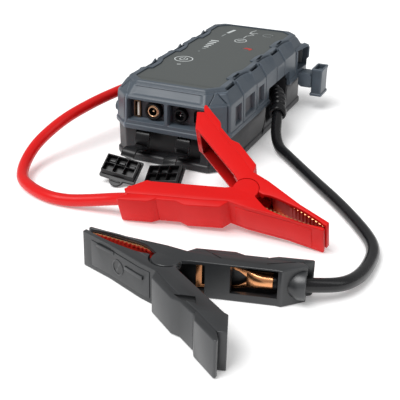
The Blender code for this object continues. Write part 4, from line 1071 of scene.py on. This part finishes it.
# ---- clamps
CLAMP_HALF = 13.0
CHEEK = 2.4
PIVOT_AT = 67.0
LOBE_RADIUS = 9.6
PIN_RADIUS = 2.6
PAD_HALF = 12.6
BACK = ((0.4, 4.1), (26.0, 7.6), (57.0, 14.5), (71.7, 16.2), (90.0, 25.8), (117.6, 37.9), (139.0, 48.2))
INSIDE_BACK = ((2.0, 2.9), (26.0, 6.1), (57.0, 12.9), (71.7, 13.8), (90.0, 23.3), (117.6, 35.4),
               (129.6, 41.2))
TEETH_LINE = ((3.0, 0.5), (15.0, 2.4), (26.0, 3.7), (43.0, 5.2), (50.0, 5.0))
CABLE_CHEEK = ((3.0, 1.8), (13.0, 4.6), (26.0, 6.6), (43.0, 7.6), (53.0, 4.4))
LEVER_CHEEK = ((3.0, 0.7), (8.0, 2.0), (22.0, 3.9), (36.0, 4.2), (47.0, 3.7), (54.0, 1.8))
FRONT_PAD = ((70.6, 15.1), (73.7, 23.6), (97.0, 35.1), (103.8, 35.1), (118.2, 41.8), (117.6, 36.6),
             (90.0, 24.5), (74.0, 16.2))
REAR_PAD = ((116.0, 36.4), (118.2, 41.8), (122.0, 46.3), (141.6, 55.8), (143.4, 56.0), (143.2, 53.4),
            (139.6, 49.0), (136.0, 45.2))
HANDLE_HOLES = (("mouth", 6.6, -16.0, 4.0), ("cable", 5.7, 2.0, 14.0), ("barrel", 6.1, 12.0, 24.0))


def bent(points, step=1.4):
    """A cheek or tooth line passed through with small even steps."""
    path = smooth([(a, b, 0.0) for a, b in points], step)
    return [(p.x, p.y) for p in path]


def arm_outline(cheek):
    outline = list(BACK) + [(144.0, 45.6), (134.4, 30.2), (131.0, 29.6), (PIVOT_AT + 14.0, 6.6)]
    outline += circle(LOBE_RADIUS, 44, (PIVOT_AT, 0.0), 20.0, -214.0, closed=False)
    return outline + bent(cheek)[::-1] + [(0.4, cheek[0][1])]


def on_back(at, across=0.0):
    """Matrix whose Z leaves the outer back of an arm at distance `at` from the tip."""
    for (a, ta), (b, tb) in zip(BACK, BACK[1:]):
        if a <= at <= b:
            slope = math.atan2(tb - ta, b - a)
            t = ta + (tb - ta) * (at - a) / (b - a)
    along = Vector((math.cos(slope), math.sin(slope), 0))
    out = Vector((-math.sin(slope), math.cos(slope), 0))
    side = Vector((0, 0, 1))
    turn = Matrix((along, -side, out)).transposed().to_4x4()
    return Matrix.Translation((at, t, across)) @ turn


def back_band(name, start, stop, half, rise, sink=1.2):
    """A raised band following the outer back between two distances from the tip."""
    marks = [start] + [a for a, _ in BACK if start < a < stop] + [stop]
    top = [(s, ramp(s, BACK) + rise) for s in marks]
    low = [(s, ramp(s, BACK) - sink) for s in marks]
    return bake(bevel(prism(name, top + low[::-1], -half, half), min(0.45, rise * 0.6), 2))


def cable_arm_rooms(name):
    wide = CLAMP_HALF - CHEEK
    room = list(INSIDE_BACK) + [(126.6, 32.0), (103.0, 20.2), (89.6, 13.8), (89.6, 5.0)]
    room += [(PIVOT_AT + 14.0, -12.0), (PIVOT_AT - 14.0, -12.0), (50.0, -3.0), (2.0, -3.0)]
    window = [(105.2, 13.0), (132.6, 26.0), (129.4, 39.0), (119.0, 34.5), (102.6, 25.0)]
    return [prism(name + "_room", room, -wide, wide), prism(name + "_window", window, -7.5, wide + 1.3)]


def lever_arm_rooms(name):
    wide = CLAMP_HALF - CHEEK
    narrow = wide - CHEEK - 0.4
    back = list(INSIDE_BACK)
    handle = [(83.0, ramp(83.0, back))] + back[4:] + [(128.0, 20.0), (83.0, -2.0)]
    jaw = back[:2] + [(54.0, ramp(54.0, back)), (54.0, -3.0), (2.0, -3.0)]
    knuckle = [(s, ramp(s, back) - 0.3) for s in (53.0, 57.0, 71.7, 84.0)] + [(84.0, -12.0), (53.0, -12.0)]
    slot = [(96.2, 31.1), (108.3, 26.0), (113.2, 31.8), (103.5, 33.4)]
    black = name.startswith("black")
    slot_floor = CLAMP_HALF - 1.2 if black else CLAMP_HALF + 3.0
    disc = circle(LOBE_RADIUS + (1.9 if black else 0.3), 60, (PIVOT_AT, 0.0))
    bore = circle(PIN_RADIUS + 0.35, 32, (PIVOT_AT, 0.0))
    return [prism(name + "_handle_room", handle, -wide, wide), prism(name + "_jaw_room", jaw, -wide, wide),
            prism(name + "_knuckle_room", knuckle, -narrow, narrow),
            prism(name + "_slot", slot, slot_floor, CLAMP_HALF + 6.0),
            prism(name + "_disc_top", disc, wide - 0.5, wide + 6.0),
            prism(name + "_disc_low", disc, -wide - 6.0, 0.35 - wide),
            prism(name + "_bore", bore, -CLAMP_HALF - 4, CLAMP_HALF + 4)]


def cable_line():
    lean = math.radians(HANDLE_SLOPE)
    return Matrix.Translation((*CABLE_HOLE_AT, 0)) @ Matrix.Rotation(lean + math.pi, 4, 'Z')


def cheek_groove(name, a, b, width, depth):
    """A cutter for a straight groove in the upper cheek's outer face."""
    return prism(name, bar_outline(a, b, width), CLAMP_HALF - depth, CLAMP_HALF + 4.0)


def for_arm(matrix, mirror):
    """The clamp's matrix, mirrored for its lever arm."""
    return matrix @ Matrix.Diagonal((1, -1, 1, 1)) if mirror else matrix


def build_arm(colour, mirror, mat, matrix, body):
    name = colour + ("_lever" if mirror else "_handle")
    outline = arm_outline(LEVER_CHEEK if mirror else CABLE_CHEEK)
    arm = bake(bevel(prism(name, outline, -CLAMP_HALF, CLAMP_HALF), 0.7))
    joins = [bake(bevel(prism(name + "_front_pad", FRONT_PAD, -PAD_HALF, PAD_HALF), 0.9)),
             bake(bevel(prism(name + "_rear_pad", REAR_PAD, -PAD_HALF, PAD_HALF), 0.9)),
             back_band(name + "_jaw_panel", 9.0, 66.0, 9.4, 0.5)]
    if mirror:
        cuts = lever_arm_rooms(name)
        profile = [(0.0, -1.0), (5.6, -1.0), (5.6, 0.75), (5.2, 0.95), (4.7, 0.95), (4.4, 0.7), (4.4, 0.55),
                   (0.0, 0.55)]
        joins.append(place(lathe(name + "_disc", profile, (0, 0), 'z', 48), on_back(36.0)))
        ridge = box(name + "_ridge", (-9.0, 8.0), (-9.4, -7.2), (-1.0, 1.5))
        joins.append(place(bake(bevel(ridge, 0.4)), on_back(24.0)))
        rib = box(name + "_rib", (-9.0, 9.0), (-4.6, -2.0), (-1.0, 1.4))
        joins.append(place(bake(bevel(rib, 0.4)), on_back(52.0)))
    else:
        cuts = cable_arm_rooms(name)
        profile = [(6.62, -6.4), (9.6, -6.4), (10.2, -5.8), (10.2, -1.6), (9.0, 1.6), (3.0, 13.0),
                   (0.0, 13.0), (0.0, -3.0), (6.62, -3.0)]
        joins.append(place(lathe(name + "_boss", profile, (0, 0), 'x', 48), cable_line()))
        for label, radius, start, stop in HANDLE_HOLES:
            cuts.append(place(prism(f"{name}_{label}", circle(radius, 48), start, stop, 'x'), cable_line()))
        if colour == "black":
            cuts.append(cheek_groove(name + "_groove", (74.7, 25.6), (94.9, 21.0), 0.7, 0.5))
            cuts.append(cheek_groove(name + "_end_groove", (121.5, 32.5), (141.0, 51.4), 0.6, 0.5))
    for tool in joins:
        add(arm, tool)
    for tool in cuts:
        cut(arm, tool)
    bake(arm, joins + cuts)
    place(arm, for_arm(matrix, mirror))
    node = colour + ("_lever_arm" if mirror else "_cable_arm")
    done(arm, body, mat, (node,), 32.0)


def teeth_edge():
    teeth = []
    for i in range(14):
        s = 3.6 + i * 3.2
        rise = 1.3 * (0.5 + 0.5 * min(1.0, i / 4.0))
        for part, height in ((0.0, 0.0), (0.18, 0.12), (0.42, 0.9), (0.5, 1.0), (0.58, 0.9), (0.82, 0.12)):
            at = s + 3.2 * part
            teeth.append((at, ramp(at, TEETH_LINE) + rise * height))
    return teeth


def build_jaw(colour, mirror, matrix, body):
    name = colour + ("_lever_teeth" if mirror else "_cable_teeth")
    half = CLAMP_HALF - CHEEK - 0.35
    back = [(s, t - 0.35) for s, t in INSIDE_BACK]
    outline = teeth_edge() + [(50.5, 5.4), (50.5, ramp(50.5, back)), back[1], (3.0, ramp(3.0, back))]
    jaw = bake(bevel(prism(name, outline, -half, half), 0.3, 2, 50.0))
    hollow = [(6.0, -4.0), (6.0, 1.4), (28.0, 4.3), (49.0, 8.8), (53.0, 8.8), (53.0, -4.0)]
    room = prism(name + "_room", hollow, 1.6 - half, half - 1.6)
    bake(cut(jaw, room), [room])
    place(jaw, for_arm(matrix, mirror))
    done(jaw, body, COPPER, (colour + ("_moving_jaw" if mirror else "_fixed_jaw"),), 32.0)
    # Painted shade and painted red reflection: jaw faces that do not face across the clamp get the dark red
    # copper.
    jaw.data.materials.append(COPPER_SHADE_AND_RED_REFLECTION)
    across = matrix.to_3x3() @ Vector((0, 0, 1))
    for face in jaw.data.polygons:
        if abs(face.normal.dot(across)) < 0.5:
            face.material_index = 1


def build_pivot(colour, matrix):
    reach = CLAMP_HALF - CHEEK - 0.3
    pin = bake(bevel(prism(colour + "_pin", circle(PIN_RADIUS, 40, (PIVOT_AT, 0.0)), -reach, reach), 0.3, 2))
    done(place(pin, matrix), "pack", STEEL, (colour + "_pivot_pin",))
    coil = []
    for i in range(121):
        a = math.radians(115.0 + 1210.0 * i / 120)
        coil.append(Vector((PIVOT_AT + 4.4 * math.cos(a), 4.4 * math.sin(a), -5.4 + 10.8 * i / 120)))
    path = [coil[0] + Vector((8.6, 4.0, 0.0))] + coil + [coil[-1] + Vector((8.6, -4.0, 0.0))]
    spring = stack(colour + "_coil", tube_rings(path, [0.8] * len(path), 12))
    done(place(spring, matrix), "pack", STEEL, (colour + "_spring",), 50.0)


def build_crimp(colour, matrix):
    sections = ((14.2, 0.02, 0.02, 0.0), (14.2, 5.1, 5.1, 0.0), (14.5, 5.4, 5.4, 0.0), (18.0, 5.4, 5.4, 0.0),
                (21.5, 5.5, 5.2, 0.1), (25.0, 5.8, 4.1, 0.7), (28.5, 6.0, 2.5, 0.9), (31.0, 6.1, 1.4, 0.6),
                (31.4, 6.0, 1.1, 0.6), (31.4, 0.02, 0.02, 0.6))
    turns = [2 * math.pi * i / 48 for i in range(48)]
    rings = []
    for u, wide, thick, rise in sections:
        rings.append([(u, rise + thick * math.sin(a), wide * math.cos(a)) for a in turns])
    barrel = stack(colour + "_barrel", rings)
    strip = []
    for u, drop, half in ((27.0, 0.5, 5.6), (31.0, 0.5, 6.0), (36.0, 0.2, 7.0),
                          (45.0, -0.6, 9.2), (54.0, 0.3, 9.2), (64.0, 1.2, 9.2)):
        strip.append([(u, drop - 0.8, -half), (u, drop - 0.8, half), (u, drop + 0.8, half),
                      (u, drop + 0.8, -half)])
    fork = stack(colour + "_strip", strip)
    gap = [(29.0, 0.0), (36.0, -4.9), (45.0, -7.0), (60.0, -7.0), (60.0, 7.0), (45.0, 7.0), (36.0, 4.9)]
    split = prism(colour + "_gap", gap, -3.0, 3.0)
    place(split, Matrix.Rotation(math.pi / 2, 4, 'X'))
    cut(fork, split)
    bake(fork, [split])
    bake(bevel(fork, 0.25, 2))
    done(place(barrel, matrix @ cable_line()), "pack", COPPER, (colour + "_crimp",), 40.0)
    done(place(fork, matrix @ cable_line()), "pack", COPPER, (), 40.0)
    band = [(4.9, 14.3), (5.3, 14.1), (5.45, 13.7), (5.45, 11.6), (5.3, 11.2), (4.9, 11.1)]
    ring = lathe(colour + "_band", band, (0, 0), 'x', 48, loop=True)
    done(place(ring, matrix @ cable_line()), "pack", PORT, (), 40.0)


def build_clamp(colour, pose, mat):
    matrix = clamp_matrix(pose)
    lever = colour + "_lever"
    build_arm(colour, False, mat, matrix, "pack")
    build_arm(colour, True, mat, matrix, lever)
    build_jaw(colour, False, matrix, "pack")
    build_jaw(colour, True, matrix, lever)
    build_pivot(colour, matrix)
    build_crimp(colour, matrix)
    parts = ("handle", "lever", "cable_teeth", "lever_teeth", "pin", "coil", "barrel", "strip", "band")
    return [f"{colour}_{part}" for part in parts]


build_clamp("red", RED_POSE, RED)
build_clamp("black", BLACK_POSE, BLACK)

# ---- pieces carried over from the frame
CARRIED = {
    "main_board": BOARD, "led_board": BOARD, "lamp_board": BOARD, "battery_frame": TUB, "power_relay": PORT,
    "heat_sink": ALUMINIUM, "busbar_positive": COPPER, "busbar_negative": COPPER}
CARRIED.update({f"battery_cell_{letter}": CELL for letter in "abcd"})
CARRIED.update({f"housing_screw_{i}": STEEL for i in range(1, 5)})
for label, mat in CARRIED.items():
    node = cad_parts[label]
    node.data.materials.clear()
    node.data.materials.append(mat)
    if label.startswith("housing_screw"):
        node.data.shade_smooth()
    else:
        trim = node.modifiers.new("edge", 'BEVEL')
        trim.width = 0.0003
        trim.segments = 2
        trim.limit_method = 'ANGLE'
        trim.angle_limit = math.radians(30.0)


# ---- floor and light
def build_stage():
    floor_mat = bpy.data.materials.new("studio_white")
    floor_mat.use_nodes = True
    tree = floor_mat.node_tree
    shader = tree.nodes["Principled BSDF"]
    shader.inputs["Roughness"].default_value = 0.85
    shader.inputs["Specular IOR Level"].default_value = 0.1
    shader.inputs["Emission Color"].default_value = (1.0, 1.0, 1.0, 1.0)
    shader.inputs["Emission Strength"].default_value = 0.2
    noise = tree.nodes.new("ShaderNodeTexNoise")
    noise.inputs["Scale"].default_value = 3.0
    mix = tree.nodes.new("ShaderNodeMix")
    mix.data_type = 'RGBA'
    mix.inputs["A"].default_value = (0.93, 0.93, 0.93, 1.0)
    mix.inputs["B"].default_value = (0.95, 0.95, 0.95, 1.0)
    tree.links.new(noise.outputs["Fac"], mix.inputs["Factor"])
    tree.links.new(mix.outputs["Result"], shader.inputs["Base Color"])
    floor = prism("floor", [(-4000, -4000), (4000, -4000), (4000, 6000), (-4000, 6000)], -20.0, -0.02)
    floor.data.materials.append(floor_mat)
    world = bpy.data.worlds.new("studio")
    world.use_nodes = True
    background = world.node_tree.nodes["Background"]
    background.inputs["Color"].default_value = (1.0, 1.0, 1.0, 1.0)
    background.inputs["Strength"].default_value = 0.4
    SCENE.world = world
    sun = bpy.data.lights.new("key_light", 'SUN')
    sun.energy = 2.6
    sun.angle = math.radians(40.0)
    lamp = bpy.data.objects.new("key_light", sun)
    lamp.rotation_euler = (math.radians(28.0), math.radians(-18.0), 0.0)
    SCENE.collection.objects.link(lamp)
    strip = bpy.data.lights.new("side_strip", 'AREA')
    strip.shape = 'RECTANGLE'
    strip.size = 0.9
    strip.size_y = 0.35
    strip.energy = 1.5
    side = bpy.data.objects.new("side_strip", strip)
    side.location = (0.9, -0.1, 0.75)
    side.rotation_euler = (0.0, math.radians(52.0), 0.0)
    SCENE.collection.objects.link(side)


build_stage()
SCENE.view_settings.view_transform = 'Standard'
